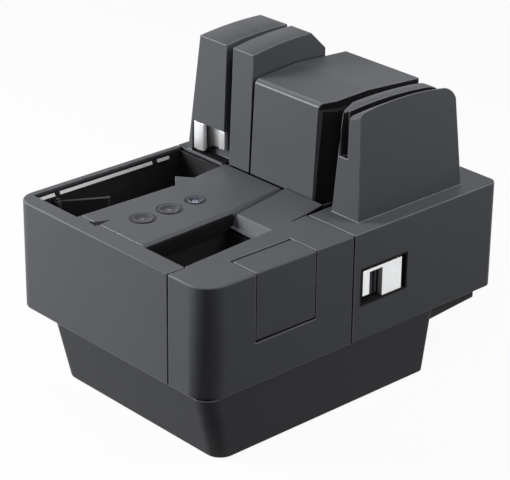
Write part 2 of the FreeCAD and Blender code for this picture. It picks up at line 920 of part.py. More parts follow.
def build_corner_cover():
    """Rounded corner and the deck beside the pocket, with the opening for the imprinter door."""
    cover = Moulding("corner_cover")
    rim = d.pocket_front + d.seam / 2
    outline = [
        (across(corner_cover_start), front),
        (right, front),
        (right, along(corner_cover_end)),
        spot(d.corner_inner_back, corner_cover_end),
        (across(d.exit_right_bend) + d.seam, along(d.exit_bend)),
        (across(d.exit_right_front) + d.seam, along(d.pocket_back)),
        (across(d.pocket_right_front), along(rim)),
        (across(corner_cover_start), along(rim)),
    ]
    cover.pad([outline], d.skirt_bottom, deck)
    cover.round(d.right_corner_radius, (right, front, middle_height))
    inner_round = d.right_corner_radius - d.skin
    hollow = rounded_outline(
        left, front + d.skin, right - d.skin, along(d.tail_back), None, inner_round, None, None
    )
    cover.pocket([hollow], d.skirt_bottom - d.overrun, deck_under)
    cover.round(d.edge_round, (right, along(d.door_front) - d.right_corner_radius, deck))
    slot = box_outline(
        across(d.door_slot_left), along(d.door_front), right + d.overrun, along(d.door_back)
    )
    cover.pocket([slot], deck_under - d.overrun, deck + d.overrun)
    side = box_outline(
        along(d.door_front), d.door_bottom - d.door_gap, along(d.door_back), deck + d.overrun
    )
    cover.pocket([side], right - d.skin - d.overrun, right + d.overrun, "YZ_Plane")
    boss_low = d.door_bottom - d.door_gap
    boss = box_outline(
        right - d.skin - d.door_barrel_radius,
        boss_low,
        right - d.skin / 2,
        boss_low + d.door_boss_depth,
    )
    y_low = along(d.door_front)
    y_high = along(d.door_back)
    cover.pad([boss], y_low - d.door_boss_width, y_low, "XZ_Plane")
    cover.pad([boss], y_high, y_high + d.door_boss_width, "XZ_Plane")
    bore = Ring(door_axis(), d.door_pin_radius + d.shaft_fit)
    cover.pocket(
        [bore],
        y_low - d.door_boss_width - d.overrun,
        y_high + d.door_boss_width + d.overrun,
        "XZ_Plane",
    )


def door_axis():
    """Place across and height of the imprinter door's hinge."""
    return (right - d.door_barrel_radius, d.door_bottom + d.door_barrel_radius)


def build_imprinter():
    """Door that folds out about its lower edge, its pin, the bay behind it and the ink cartridge."""
    axis = door_axis()
    strip_left = across(d.door_slot_left) + d.door_slot
    y_low = along(d.door_front) + d.door_gap
    y_high = along(d.door_back) - d.door_gap
    door = Moulding("imprinter_door")
    outline = [
        (strip_left, deck_under),
        (right - d.skin, deck_under),
        (right - d.skin, axis[1]),
        (right, axis[1]),
        (right, deck),
        (strip_left, deck),
    ]
    door.pad([outline], y_low, y_high, "XZ_Plane")
    door.pad([Ring(axis, d.door_barrel_radius)], y_low, y_high, "XZ_Plane")
    door.pocket(
        [Ring(axis, d.door_pin_radius + d.shaft_fit)],
        y_low - d.overrun,
        y_high + d.overrun,
        "XZ_Plane",
    )
    door.round(d.edge_round, (right, (y_low + y_high) / 2, deck))
    pin_start = along(d.door_front) - d.door_boss_width
    pin_length = d.door_back - d.door_front + 2 * d.door_boss_width
    node(rod("door_pin", d.door_pin_radius, (axis[0], pin_start, axis[1]), pin_length, "Y"), "door_pin")

    wall = d.bay_wall
    bay = Moulding("imprinter_bay")
    outer = box_outline(
        across(d.bay_left), along(d.door_front) - wall, across(d.bay_right), along(d.door_back) + wall
    )
    bay.pad([outer], d.bay_floor - wall, deck_under - d.loose_fit)
    inner = box_outline(
        across(d.bay_left) + wall,
        along(d.door_front),
        across(d.bay_right) + d.overrun,
        along(d.door_back),
    )
    bay.pocket([inner], d.bay_floor, deck_under + d.overrun)

    cartridge = Moulding("ink_cartridge")
    inset = d.cartridge_inset
    body = box_outline(
        across(d.bay_left) + wall,
        along(d.door_front) + 2 * inset,
        across(d.bay_right) - inset,
        along(d.door_back) - 2 * inset,
    )
    top = d.bay_floor + d.cartridge_height
    cartridge.pad([body], d.bay_floor, top)
    step = box_outline(
        across(d.bay_left),
        top - d.cartridge_nozzle,
        across(d.bay_left) + wall + 2 * inset,
        top + d.overrun,
    )
    cartridge.pocket([step], along(d.door_front), along(d.door_back), "XZ_Plane")
    cartridge.round(
        d.edge_round,
        (across(d.bay_right) - inset, along((d.door_front + d.door_back) / 2), top),
    )


def build_hopper():
    """Deep tray that the cheques stand in, with its white strips and the pusher."""
    tray = Moulding("hopper_tray")
    wall = d.tray_wall
    outer = box_outline(
        across(d.hopper_left) - wall,
        along(d.hopper_front) - wall,
        across(d.hopper_right) + wall,
        along(d.hopper_back) + wall,
    )
    tray.pad([outer], tray_bottom, deck_under)
    well = box_outline(
        across(d.hopper_left), along(d.hopper_front), across(d.hopper_right), along(d.hopper_back)
    )
    tray.pocket([well], d.tray_floor, deck_under + d.overrun)
    gate = box_outline(
        across(d.gate_left),
        along(d.hopper_back) - wall,
        across(left_inner),
        along(d.hopper_back) + wall + d.overrun,
    )
    tray.pocket([gate], d.tray_floor, deck_under + d.overrun)
    reach = d.feed_radius + d.roller_window
    window = box_outline(feed_drive[1] - reach, window_low, feed_drive[1] + reach, window_high)
    notch = d.shaft_radius + d.loose_fit
    chase = box_outline(
        feed_drive[1] - notch, d.tray_floor, feed_drive[1] + notch, deck + d.overrun
    )
    for outline in (window, chase):
        tray.pocket(
            [outline],
            across(d.hopper_right) - d.overrun,
            across(d.hopper_right) + wall + d.overrun,
            "YZ_Plane",
        )
    bearing = Ring(feed_drive, d.shaft_radius + d.shaft_fit)
    tray.pocket([bearing], tray_bottom - d.overrun, d.tray_floor + d.overrun)
    strips = []
    for number, (start, end) in enumerate(
        (
            (d.strip_first_start, d.strip_first_end),
            (d.strip_second_start, d.strip_second_end),
            (d.strip_third_start, d.strip_third_end),
        ),
        1,
    ):
        strips.append(
            block(
                f"strip_{number}",
                (across(d.hopper_left), across(d.hopper_left) + d.strip_proud),
                (along(start), along(end)),
                (d.strip_bottom, d.strip_bottom + d.strip_height),
            )
        )
    node(group("hopper_strips", *strips), "hopper_strips")
    x, y = spot(d.pusher_across, d.pusher_along)
    pin_height = d.pusher_top + d.overrun - d.tray_floor
    node(rod("pusher_pin", d.pusher_pin_radius, (x, y, d.tray_floor), pin_height), "pusher_pin")

    arm = Moulding("pusher_arm")
    half = d.pusher_thickness / 2
    tip = d.pusher_length
    blade = [
        (0, -half),
        (tip - d.pusher_curl, -half),
        Arch((tip, half), d.pusher_tip_share),
        (tip - half, half + half),
        (tip - d.pusher_curl, half),
        (0, half),
    ]
    arm.pad([blade], d.pusher_bottom, d.pusher_top)
    arm.pad([Ring((0, 0), d.pusher_barrel_radius)], d.pusher_bottom, d.pusher_top)
    arm.pocket(
        [Ring((0, 0), d.pusher_pin_radius + d.shaft_fit)],
        d.pusher_bottom - d.overrun,
        d.pusher_top + d.overrun,
    )
    arm.body.Placement.Rotation = FreeCAD.Rotation(FreeCAD.Vector(0, 0, 1), PUSHER_ANGLE)
    arm.place(x, y)


def pocket_side(place):
    """Place across of the pocket's right wall at a place along it."""
    run = (place - d.pocket_front) / (d.pocket_back - d.pocket_front)
    return d.pocket_right_front + (d.pocket_right_back - d.pocket_right_front) * run


def build_pocket():
    """Tray where the scanned cheques stack, with upright ribs on its right wall."""
    tray = Moulding("pocket_tray")
    wall = d.tray_wall
    well = [
        spot(d.pocket_left_front, d.pocket_front),
        spot(d.pocket_right_front, d.pocket_front),
        spot(d.pocket_right_back, d.pocket_back),
        spot(d.pocket_left_back, d.pocket_back),
    ]
    outer = [
        (across(d.pocket_left_front) - wall, along(d.pocket_front) - wall),
        (across(d.pocket_right_front) + wall, along(d.pocket_front) - wall),
        (across(d.pocket_right_back) + wall, along(d.pocket_back) + wall),
        (across(d.pocket_left_back) - wall, along(d.pocket_back) + wall),
    ]
    tray.pad([outer], tray_bottom, deck_under)
    tray.pocket([well], d.tray_floor, deck_under + d.overrun)
    low_left = [
        (across(d.pocket_left_front) - 2 * wall, along(d.pocket_front)),
        (across(d.pocket_left_front) + wall, along(d.pocket_front)),
        (across(d.pocket_left_back) + wall, along(d.pocket_back)),
        (across(d.pocket_left_back) - 2 * wall, along(d.pocket_back)),
    ]
    tray.pocket([low_left], d.pocket_left_wall_top, deck_under + d.overrun)
    low_back = box_outline(
        across(d.pocket_left_back) - 2 * wall,
        along(d.pocket_back) - wall / 2,
        across(d.pocket_right_back) + 2 * wall,
        along(d.pocket_back) + 2 * wall,
    )
    tray.pocket([low_back], d.pocket_back_wall_top, deck_under + d.overrun)
    gate = box_outline(
        across(right_inner),
        along(d.pocket_back) - wall / 2,
        across(right_outer),
        along(d.pocket_back) + 2 * wall,
    )
    tray.pocket([gate], d.tray_floor, deck_under + d.overrun)
    ribs = []
    for number in range(RIB_COUNT):
        start = d.pocket_front + d.rib_pitch * (number + 0.5)
        end = start + d.rib_width
        ribs.append(
            [
                spot(pocket_side(start) - d.rib_proud, start),
                spot(pocket_side(start) + wall / 2, start),
                spot(pocket_side(end) + wall / 2, end),
                spot(pocket_side(end) - d.rib_proud, end),
            ]
        )
    tray.pad(ribs, d.tray_floor, d.rib_top)


def build_control_plate():
    """Plate between the hopper and the pocket, with a nose over the feed roller and three keys."""
    plate = Moulding("control_plate")
    start = d.pocket_front + d.seam / 2
    outline = [
        (across(d.hopper_right), along(start)),
        spot(d.control_right_front, start),
        spot(d.control_right_middle, d.control_bend),
        spot(d.control_right_back, d.control_back),
        spot(d.control_left_back, d.control_back),
        spot(d.nose_heel, d.nose_end),
        spot(d.nose_reach, d.nose_tip),
        spot(d.nose_root, d.nose_start),
    ]
    skirt_low = deck - d.control_skirt
    plate.pad([outline], skirt_low, deck)
    inner = [
        (across(d.nose_reach) - d.overrun, along(start) - d.overrun),
        (across(d.control_right_front) - d.skin, along(start) - d.overrun),
        (across(d.control_right_middle) - d.skin, along(d.control_bend)),
        (across(d.control_right_back) - d.skin, along(d.control_back) + d.overrun),
        (across(d.nose_reach) - d.overrun, along(d.control_back) + d.overrun),
    ]
    plate.pocket([inner], skirt_low - d.overrun, deck_under)
    x_front = across((d.control_right_front + d.control_right_middle) / 2)
    y_front = along((start + d.control_bend) / 2)
    x_back = across((d.control_right_middle + d.control_right_back) / 2)
    y_back = along((d.control_bend + d.control_back) / 2)
    plate.round(d.control_round, (x_front, y_front, deck), (x_back, y_back, deck))
    holes = []
    for place, radius in KEYS.values():
        holes.append(Ring(spot(d.key_across, place), radius + d.loose_fit))
    plate.pocket(holes, deck_under - d.overrun, deck + d.overrun)
    board_low = board_place()
    posts = [Ring(place, d.boss_radius) for place in key_board_corners()]
    plate.pad(posts, board_low + d.board_thickness, deck_under)


KEYS = {
    "start_key": (d.start_key_along, d.key_radius),
    "stop_key": (d.stop_key_along, d.key_radius),
    "power_key": (d.power_key_along, d.power_key_radius),
}


def key_bottom():
    """Height of the lowest point of a key's stem, at rest."""
    flange_top = deck_under - d.key_flange_gap
    return flange_top - d.key_flange_thickness - d.key_stem_length


def board_place():
    """Height of the underside of the board below the keys."""
    return key_bottom() - d.key_travel - d.loose_fit - d.switch_height - d.board_thickness


def key_board_corners():
    inset = d.boss_radius + d.loose_fit
    x_low = across(d.key_across) - d.board_half_width + inset
    x_high = across(d.key_across) + d.board_half_width - inset
    y_low = along(d.start_key_along) - d.board_margin + inset
    y_high = along(d.power_key_along) + d.board_margin - inset
    return [(x_low, y_low), (x_high, y_low), (x_high, y_high), (x_low, y_high)]


def build_keys():
    """Three dished keys that travel straight down, each over its own switch on a small board."""
    flange_top = deck_under - d.key_flange_gap
    flange_low = flange_top - d.key_flange_thickness
    for label, (place, radius) in KEYS.items():
        top = deck + d.key_proud
        key = Moulding(label)
        key.revolve(
            [
                (0, key_bottom()),
                (d.key_stem_radius, key_bottom()),
                (d.key_stem_radius, flange_low),
                (radius + d.key_flange, flange_low),
                (radius + d.key_flange, flange_top),
                (radius, flange_top),
                (radius, top),
                (radius - d.key_rim, top),
                (radius / 2, top - d.key_dish),
                (0, top - d.key_dish),
            ]
        )
        key.place(across(d.key_across), along(place))
    low = board_place()
    high = low + d.board_thickness
    x = across(d.key_across)
    board = block(
        "key_board",
        (x - d.board_half_width, x + d.board_half_width),
        (along(d.start_key_along) - d.board_margin, along(d.power_key_along) + d.board_margin),
        (low, high),
    )
    node(board, "key_board")
    switches = []
    half = d.switch_size / 2
    for label, (place, radius) in KEYS.items():
        switches.append(
            block(
                f"{label}_switch",
                (x - half, x + half),
                (along(place) - half, along(place) + half),
                (high, high + d.switch_height),
            )
        )
    node(group("key_switches", *switches), "key_switches")


def build_exit_cover():
    """Lower plate behind the pocket, with a sloping front, over the last stretch of the track."""
    cover = Moulding("exit_cover")
    skin = d.skin
    y_front = along(d.pocket_back)
    y_back = along(d.control_back)
    profile = [
        (y_front, d.exit_front_height),
        (y_front + d.exit_slope, d.exit_top_height),
        (y_back, d.exit_top_height),
        (y_back, d.exit_top_height - skin),
        (y_front + d.exit_slope + skin / 2, d.exit_top_height - skin),
        (y_front + skin, d.exit_front_height),
    ]
    x_low = across(d.exit_left_back)
    x_high = across(d.exit_right_front)
    cover.pad([profile], x_low, x_high, "YZ_Plane")
    beside_keys = [
        (x_low - d.overrun, y_front - d.overrun),
        (across(d.exit_left_front), y_front - d.overrun),
        (across(d.exit_left_front), y_front),
        (x_low, y_back),
        (x_low - d.overrun, y_back),
    ]
    cover.pocket([beside_keys], d.exit_front_height - d.overrun, deck)
    beside_track = [
        (x_high, y_front),
        spot(d.exit_right_bend, d.exit_bend),
        spot(d.exit_channel, d.exit_bend),
        (across(d.exit_channel_back), y_back + d.overrun),
        (x_high + d.overrun, y_back + d.overrun),
        (x_high + d.overrun, y_front),
    ]
    cover.pocket([beside_track], d.exit_front_height - d.overrun, deck)


def build_track_frame():
    """Floor and inner wall of the track, bent round the rear in a half circle."""
    frame = Moulding("track_frame")
    y_front = along(d.frame_front)
    y_turn = along(d.turn_place)
    wall = d.track_wall
    x_left = across(left_inner)
    x_right = across(right_inner)
    y_hopper = along(d.hopper_back) + d.tray_wall + d.loose_fit
    floor_outline = [
        (across(d.frame_left), y_hopper),
        (x_left + wall, y_hopper),
        (x_left + wall, y_front),
        (across(d.frame_right), y_front),
        (across(d.frame_right), along(d.frame_back)),
        (across(d.frame_left), along(d.frame_back)),
    ]
    frame.pad([floor_outline], tray_bottom, d.tray_floor)
    crown = (across(turn_across), y_turn + inner_radius)
    inner_crown = (across(turn_across), y_turn + inner_radius - wall)
    bend = [
        (x_right - wall, y_front),
        (x_right, y_front),
        (x_right, y_turn),
        Turn(turn_centre, crown, "y"),
        Turn(turn_centre, (x_left, y_turn), "x"),
        (x_left, y_front),
        (x_left + wall, y_front),
        (x_left + wall, y_turn),
        Turn(turn_centre, inner_crown, "y", clockwise=True),
        Turn(turn_centre, (x_right - wall, y_turn), "x", clockwise=True),
    ]
    frame.pad([bend], d.tray_floor, deck)
    reach = d.drive_radius
    side_window = box_outline(
        left_drive[1] - reach, window_low, left_drive[1] + reach, window_high
    )
    left_head = box_outline(
        along(d.head_along) - d.loose_fit,
        d.tray_floor,
        along(d.head_along) + d.head_width + d.loose_fit,
        d.tray_floor + d.head_height + d.loose_fit,
    )
    frame.pocket(
        [side_window, left_head], x_left - d.overrun, x_left + wall + d.overrun, "YZ_Plane"
    )
    sensor = box_outline(
        along(d.sensor_along + d.sensor_width),
        d.tray_floor + d.loose_fit,
        along(d.sensor_along + 2 * d.sensor_width),
        deck + d.overrun,
    )
    frame.pocket(
        [side_window, sensor], x_right - wall - d.overrun, x_right + d.overrun, "YZ_Plane"
    )
    rear_window = box_outline(
        across(turn_across) - reach, window_low, across(turn_across) + reach, window_high
    )
    frame.pocket(
        [rear_window], y_turn + inner_radius - 2 * wall, y_turn + inner_radius + d.overrun, "XZ_Plane"
    )
    bearings = [Ring(place, d.shaft_radius + d.shaft_fit) for place in drive_spots[1:]]
    frame.pocket(bearings, tray_bottom - d.overrun, d.tray_floor + d.overrun)


def build_exit_guide():
    """Straight channel from the right track to the pocket: a floor between two walls."""
    guide = Moulding("exit_guide")
    wall = d.track_wall
    x_inner = across(right_inner)
    x_outer = across(right_outer)
    y_pocket = along(d.pocket_back) + d.tray_wall + d.loose_fit
    y_back = along(d.frame_front) - d.loose_fit
    y_slope = along(d.pocket_back) + d.exit_slope + d.skin
    y_bend = along(d.exit_bend) + d.seam
    y_cover = along(right_cover_start) + d.skin - d.seam
    under_slope = d.exit_front_height - d.loose_fit
    floor = [
        (x_inner - wall, y_pocket),
        (x_outer + wall, y_pocket),
        (x_outer + wall, y_back),
        (x_inner - wall, y_back),
    ]
    guide.pad([floor], tray_bottom, d.tray_floor)
    front_walls = [
        box_outline(x_inner - wall, y_pocket, x_inner, y_slope),
        box_outline(x_outer, y_pocket, x_outer + wall, y_bend),
    ]
    guide.pad(front_walls, d.tray_floor, under_slope)
    inner_back = box_outline(x_inner - wall, y_slope, x_inner, y_back)
    guide.pad([inner_back], d.tray_floor, d.exit_top_height - d.skin - d.loose_fit)
    outer_back = box_outline(x_outer, y_bend, x_outer + wall, y_cover)
    guide.pad([outer_back], d.tray_floor, deck_under - d.loose_fit)


def turn_depth(place, radius):
    """How far behind the turn's centre a circle of the track lies, at a place across."""
    side = place - turn_across
    return root(radius * radius - side * side)


def build_inner_track_cover():
    """Tall thin cover beside the left track. Its foot follows the turn and its head runs further back."""
    cover = Moulding("inner_track_cover")
    x_low = across(left_inner)
    x_high = across(d.inner_cover_right)
    y_front = along(d.frame_front)
    y_turn = along(d.turn_place)
    y_meet = y_turn + turn_depth(d.inner_cover_right, inner_radius)
    foot = [
        (x_low, y_front),
        (x_high, y_front),
        (x_high, y_meet),
        Turn(turn_centre, (x_low, y_turn), "x"),
    ]
    cover.pad([foot], deck, d.hood_height)
    head = [
        (x_low, y_front),
        (x_high, y_front),
        (x_high, along(d.inner_cover_back_right)),
        (x_low, along(d.inner_cover_back_left)),
    ]
    cover.pad([head], d.hood_height, d.inner_cover_top + d.overrun)
    y_far = along(d.tail_back)
    above = d.inner_cover_top + d.skin
    roof = [
        (y_front - d.overrun, d.inner_cover_front_top),
        (y_front + d.tower_lean, d.inner_cover_front_top),
        Arch((along(d.inner_cover_crest), d.inner_cover_top), d.crown_share, clockwise=True),
        (along(d.inner_cover_back_right), d.inner_cover_back_top),
        (y_far, d.inner_cover_back_top),
        (y_far, above),
        (y_front - d.overrun, above),
    ]
    cover.pocket([roof], x_low - d.overrun, x_high + d.overrun, "YZ_Plane")
    lean = [
        (y_front - d.overrun, deck),
        (y_front, deck),
        (y_front + d.tower_lean, d.inner_cover_top),
        (y_front - d.overrun, d.inner_cover_top),
    ]
    cover.pocket([lean], x_low - d.overrun, x_high + d.overrun, "YZ_Plane")
    wall = d.skin
    y_narrow = y_turn
    hollow = box_outline(x_low + wall, y_front + d.tower_lean + wall, x_high - wall, y_narrow)
    cover.pocket([hollow], deck - d.overrun, d.inner_cover_front_top - wall)


def build_center_cover():
    """Main block inside the turn. Its hood reaches back over the turn of the track."""
    cover = Moulding("center_cover")
    x_low = across(d.block_left)
    x_high = across(right_inner)
    y_front = along(d.frame_front)
    y_turn = along(d.turn_place)
    y_meet = y_turn + turn_depth(d.block_left, inner_radius)
    foot = [
        (x_low, y_front),
        spot(d.block_right_front, d.frame_front),
        (x_high, along(d.block_flare_end)),
        (x_high, y_turn),
        Turn(turn_centre, (x_low, y_meet), "y"),
    ]
    cover.pad([foot], deck, d.hood_height)
    hood = [
        (x_low, y_front),
        spot(d.block_right_front, d.frame_front),
        (x_high, along(d.block_flare_end)),
        (x_high, along(d.block_back)),
        (x_low, along(d.block_back)),
    ]
    cover.pad([hood], d.hood_height, d.block_top)
    lean_top = y_front + d.tower_lean
    above = d.block_top + d.overrun
    crown = [
        (y_front - d.overrun, deck),
        (y_front, deck),
        (lean_top, d.block_front_top),
        (lean_top + d.block_chamfer, d.block_front_crest),
        (along(d.block_crest), d.block_top),
        (along(d.block_back) + d.overrun, d.block_back_top),
        (along(d.block_back) + d.overrun, above),
        (y_front - d.overrun, above),
    ]
    cover.pocket([crown], x_low - d.overrun, x_high + d.overrun, "YZ_Plane")
    wall = d.skin
    y_inner = y_front + d.tower_lean + wall
    y_narrow = y_turn + turn_depth(d.block_left + wall, inner_radius - wall)
    hollow = [
        (x_low + wall, y_inner),
        (across(d.block_right_front), y_inner),
        (x_high - wall, along(d.block_flare_end) + wall),
        (x_high - wall, y_turn),
        Turn(turn_centre, (x_low + wall, y_narrow), "y"),
    ]
    cover.pocket([hollow], deck - d.overrun, d.block_front_top - wall)
    sensor = box_outline(
        x_high - d.sensor_depth - d.loose_fit,
        along(d.sensor_along + d.sensor_width) - d.loose_fit,
        x_high + d.overrun,
        along(d.sensor_along + 2 * d.sensor_width) + d.loose_fit,
    )
    cover.pocket([sensor], deck - d.overrun, d.hood_height)


def build_rear_guide():
    """Outer wall of the turn, closed behind, with the lugs that carry the rear pinch roller."""
    guide = Moulding("rear_guide")
    y_turn = along(d.turn_place)
    y_low = along(d.guide_start)
    drop = d.guide_start - d.turn_place
    side = root(outer_radius * outer_radius - drop * drop)
    x_left = across(turn_across) - side
    x_right = across(turn_across) + side
    crown = (across(turn_across), y_turn + outer_radius)
    outline = [
        (across(d.guide_left), y_low),
        (x_left, y_low),
        Turn(turn_centre, crown, "y", clockwise=True),
        Turn(turn_centre, (x_right, y_low), "x", clockwise=True),
        (across(d.guide_right), y_low),
        (across(d.guide_right), along(d.frame_back)),
        (across(d.guide_left), along(d.frame_back)),
    ]
    guide.pad([outline], d.tray_floor, d.document_top - d.loose_fit)
    half = d.pinch_radius + d.roller_window
    window = box_outline(
        across(turn_across) - half, window_low, across(turn_across) + half, window_high
    )
    guide.pocket(
        [window],
        y_turn + outer_radius - d.overrun,
        along(d.frame_back) + d.overrun,
        "XZ_Plane",
    )
    y_back = along(d.frame_back)
    lug = box_outline(
        across(turn_across) - d.lug_half_width,
        y_back - d.overrun,
        across(turn_across) + d.lug_half_width,
        rear_pinch[1] + d.axle_radius + d.tray_wall,
    )
    add_lugs(guide, lug, rear_pinch)


def add_lugs(moulding, outline, place):
    """Two lugs above and below a pinch roller, bored for its axle."""
    low = window_low - d.lug_gap
    high = window_high + d.lug_gap
    moulding.pad([outline], low - d.lug_thickness, low)
    moulding.pad([outline], high, high + d.lug_thickness)
    bore = Ring(place, d.axle_radius + d.shaft_fit)
    moulding.pocket([bore], low - 2 * d.lug_thickness, high + 2 * d.lug_thickness)


def build_rear_cover():
    """Fixed cover between the two hinges, with the sockets and a row of vents."""
    cover = Moulding("rear_cover")
    x_low = across(d.left_hinge + d.hinge_barrel_radius) + d.seam
    x_high = across(d.right_hinge - d.hinge_barrel_radius) - d.seam
    y_low = along(d.frame_back) + d.seam
    cover.pad([box_outline(x_low, y_low, x_high, back)], d.skirt_bottom, deck)
    hollow = box_outline(x_low - d.overrun, y_low - d.overrun, x_high + d.overrun, back - d.skin)
    cover.pocket([hollow], d.skirt_bottom - d.overrun, deck_under)
    windows = [
        socket_outline(d.power_across, d.power_width, d.power_height, d.loose_fit),
        socket_outline(d.data_across, d.data_width, d.data_height, d.loose_fit),
    ]
    for number in range(VENT_COUNT):
        x = across(d.vent_across + d.vent_pitch * number)
        windows.append(box_outline(x, d.vent_bottom, x + d.vent_width, d.vent_top))
    cover.pocket(windows, back - d.skin - d.overrun, back + d.overrun, "XZ_Plane")
    cover.round(d.edge_round, (0, back, deck))


def socket_outline(place, width, height, room):
    """Upright outline of a socket that stands on the chassis plate."""
    return box_outline(
        across(place) - room, plate_top - room, across(place) + width + room, plate_top + height + room
    )


def build_sockets():
    face = back - d.seam / 2
    power = Moulding("power_inlet")
    power.pad(
        [socket_outline(d.power_across, d.power_width, d.power_height, 0)],
        face - d.power_depth,
        face,
        "XZ_Plane",
    )
    centre = (across(d.power_across) + d.power_width / 2, plate_top + d.power_height / 2)
    power.pocket(
        [Ring(centre, d.power_hole_radius)], face - d.power_hole_depth, face + d.overrun, "XZ_Plane"
    )
    power.pad([Ring(centre, d.power_hole_radius / 3)], face - d.power_depth, face - d.overrun, "XZ_Plane")

    data = Moulding("data_socket")
    data.pad(
        [socket_outline(d.data_across, d.data_width, d.data_height, 0)],
        face - d.data_depth,
        face,
        "XZ_Plane",
    )
    x = across(d.data_across) + d.data_width / 2
    z = plate_top + d.data_height / 2
    mouth = box_outline(
        x - d.data_mouth_width / 2,
        z - d.data_mouth_height / 2,
        x + d.data_mouth_width / 2,
        z + d.data_mouth_height / 2,
    )
    data.pocket([mouth], face - d.power_hole_depth, face + d.overrun, "XZ_Plane")
    tongue = box_outline(
        x - d.data_tongue_width / 2,
        z - d.data_tongue_height / 2,
        x + d.data_tongue_width / 2,
        z + d.data_tongue_height / 2,
    )
    data.pad([tongue], face - d.data_depth, face - d.overrun, "XZ_Plane")


def build_left_cover():
    """Left opening cover: a leaning tower, its deck, the side wall and the rear corner."""
    cover = Moulding("left_cover")
    x_inner = across(left_outer)
    y_front = along(d.left_cover_front)
    barrel = hinge_spots[0]
    outline = [
        (left, y_front),
        (x_inner, y_front),
        (x_inner, along(d.barrel_web)),
        (barrel[0] - d.hinge_barrel_radius / 2, along(d.barrel_web)),
        (barrel[0] - d.hinge_barrel_radius / 2, back),
        (left, back),
    ]
    cover.pad([outline], cover_bottom, deck)
    cover.round(d.rear_corner_radius, (left, back, middle_height))
    inner_round = d.rear_corner_radius - d.skin
    hollow = rounded_outline(
        left + d.skin, y_front - d.overrun, right, back - d.skin, None, None, None, inner_round
    )
    cover.pocket([hollow], cover_bottom - d.overrun, deck_under)
    cover.pad([Ring(barrel, d.hinge_barrel_radius)], d.barrel_bottom, deck)
    base = [
        spot(d.left_tower_base, d.left_tower_front),
        (x_inner, along(d.left_tower_front)),
        (x_inner, along(d.left_tower_back_inner)),
        spot(d.left_tower_base, d.left_tower_back_outer),
    ]
    top = [
        (across(d.left_tower_top), along(d.left_tower_front) + d.tower_lean),
        (x_inner, along(d.left_tower_front) + d.tower_lean),
        (x_inner, along(d.left_tower_back_inner)),
        spot(d.left_tower_top, d.left_tower_back_outer),
    ]
    cover.loft(base, deck_under, top, d.left_tower_height + d.overrun)
    wall = d.skin
    y_near = along(d.left_tower_front) + d.lever_bay_depth + wall
    x_near = x_inner - d.sensor_depth - d.loose_fit - wall
    y_far = along(d.left_tower_back_outer) - wall
    x_base = across(d.left_tower_base) + 2 * wall
    cover.loft(
        box_outline(x_base, y_near, x_near, y_far),
        deck_under - d.overrun,
        box_outline(across(d.left_tower_top) + wall, y_near, x_near, y_far),
        d.left_tower_front_height - wall,
        hollow=True,
    )
    y_crown = along(d.left_tower_front) + d.tower_lean
    above = d.left_tower_height + d.skin
    crown = [
        (y_crown - d.tower_lean - d.overrun, d.left_tower_front_height),
        (y_crown, d.left_tower_front_height),
        Arch((along(d.left_tower_back_inner), d.left_tower_height), d.crown_share, clockwise=True),
        (along(d.left_tower_back_inner) + d.overrun, d.left_tower_height),
        (along(d.left_tower_back_inner) + d.overrun, above),
        (y_crown - d.tower_lean - d.overrun, above),
    ]
    cover.pocket([crown], left, x_inner + d.overrun, "YZ_Plane")
    bay = box_outline(
        across(d.lever_bay_left), deck, x_inner + d.overrun, d.lever_bay_top
    )
    bay_start = along(d.left_tower_front) - d.overrun
    cover.pocket([bay], bay_start, along(d.left_tower_front) + d.lever_bay_depth, "XZ_Plane")
    pin = left_lever_axis()
    cover.pocket(
        [Ring(pin, d.lever_pin_radius)],
        deck - d.lever_pin_hold / 2,
        d.lever_bay_top + d.lever_pin_hold,
    )
    sensor = box_outline(
        x_inner - d.sensor_depth - d.loose_fit,
        along(d.sensor_along) - d.loose_fit,
        x_inner + d.overrun,
        along(d.sensor_along + d.sensor_width) + d.loose_fit,
    )
    cover.pocket([sensor], deck_under - d.overrun, d.document_top)
    cover.pocket(
        [Ring(barrel, d.hinge_pin_radius + d.shaft_fit)],
        d.barrel_bottom - d.overrun,
        d.hinge_pin_top + d.overrun,
    )


def left_lever_axis():
    return (across(d.lever_left + d.lever_pivot_inset), along(d.lever_face) + d.lever_thickness / 2)


def build_left_lever():
    """Release lever in the foot of the left tower, with a scoop for a finger."""
    lever = Moulding("left_lever")
    y_face = along(d.lever_face)
    y_rear = y_face + d.lever_thickness
    outline = [
        (across(d.lever_left), y_face + d.lever_swell),
        Arch((across(d.lever_scoop_left), y_face + d.lever_swell / 2), d.lever_swell_share),
        Arch((across(d.lever_scoop_right), y_face), d.lever_scoop_share, clockwise=True),
        (across(d.lever_right), y_face),
        (across(d.lever_right), y_rear),
        (across(d.lever_left), y_rear),
    ]
    lever.pad([outline], d.lever_bottom, d.lever_top)
    x_end = across(d.lever_right) + d.overrun
    below = [
        (across(d.lever_scoop_left), d.lever_bottom - d.overrun),
        (x_end, d.lever_bottom - d.overrun),
        (x_end, d.lever_bottom + d.lever_rise),
        (across(d.lever_scoop_left), d.lever_bottom),
    ]
    lever.pocket([below], y_face - d.overrun, y_rear + d.overrun, "XZ_Plane")
    pin = left_lever_axis()
    lever.pocket(
        [Ring(pin, d.lever_pin_radius + d.shaft_fit)],
        d.lever_bottom - d.overrun,
        d.lever_top + d.overrun,
    )
    start = deck - d.lever_pin_hold / 2
    length = d.lever_bay_top + d.lever_pin_hold - start
    node(rod("left_lever_pin", d.lever_pin_radius, (pin[0], pin[1], start), length), "left_lever_pin")


def right_latch_axis():
    thickness = d.latch_thickness
    return (
        right - d.latch_face_inset - thickness / 2,
        along(d.latch_back) - d.lever_pivot_inset,
    )


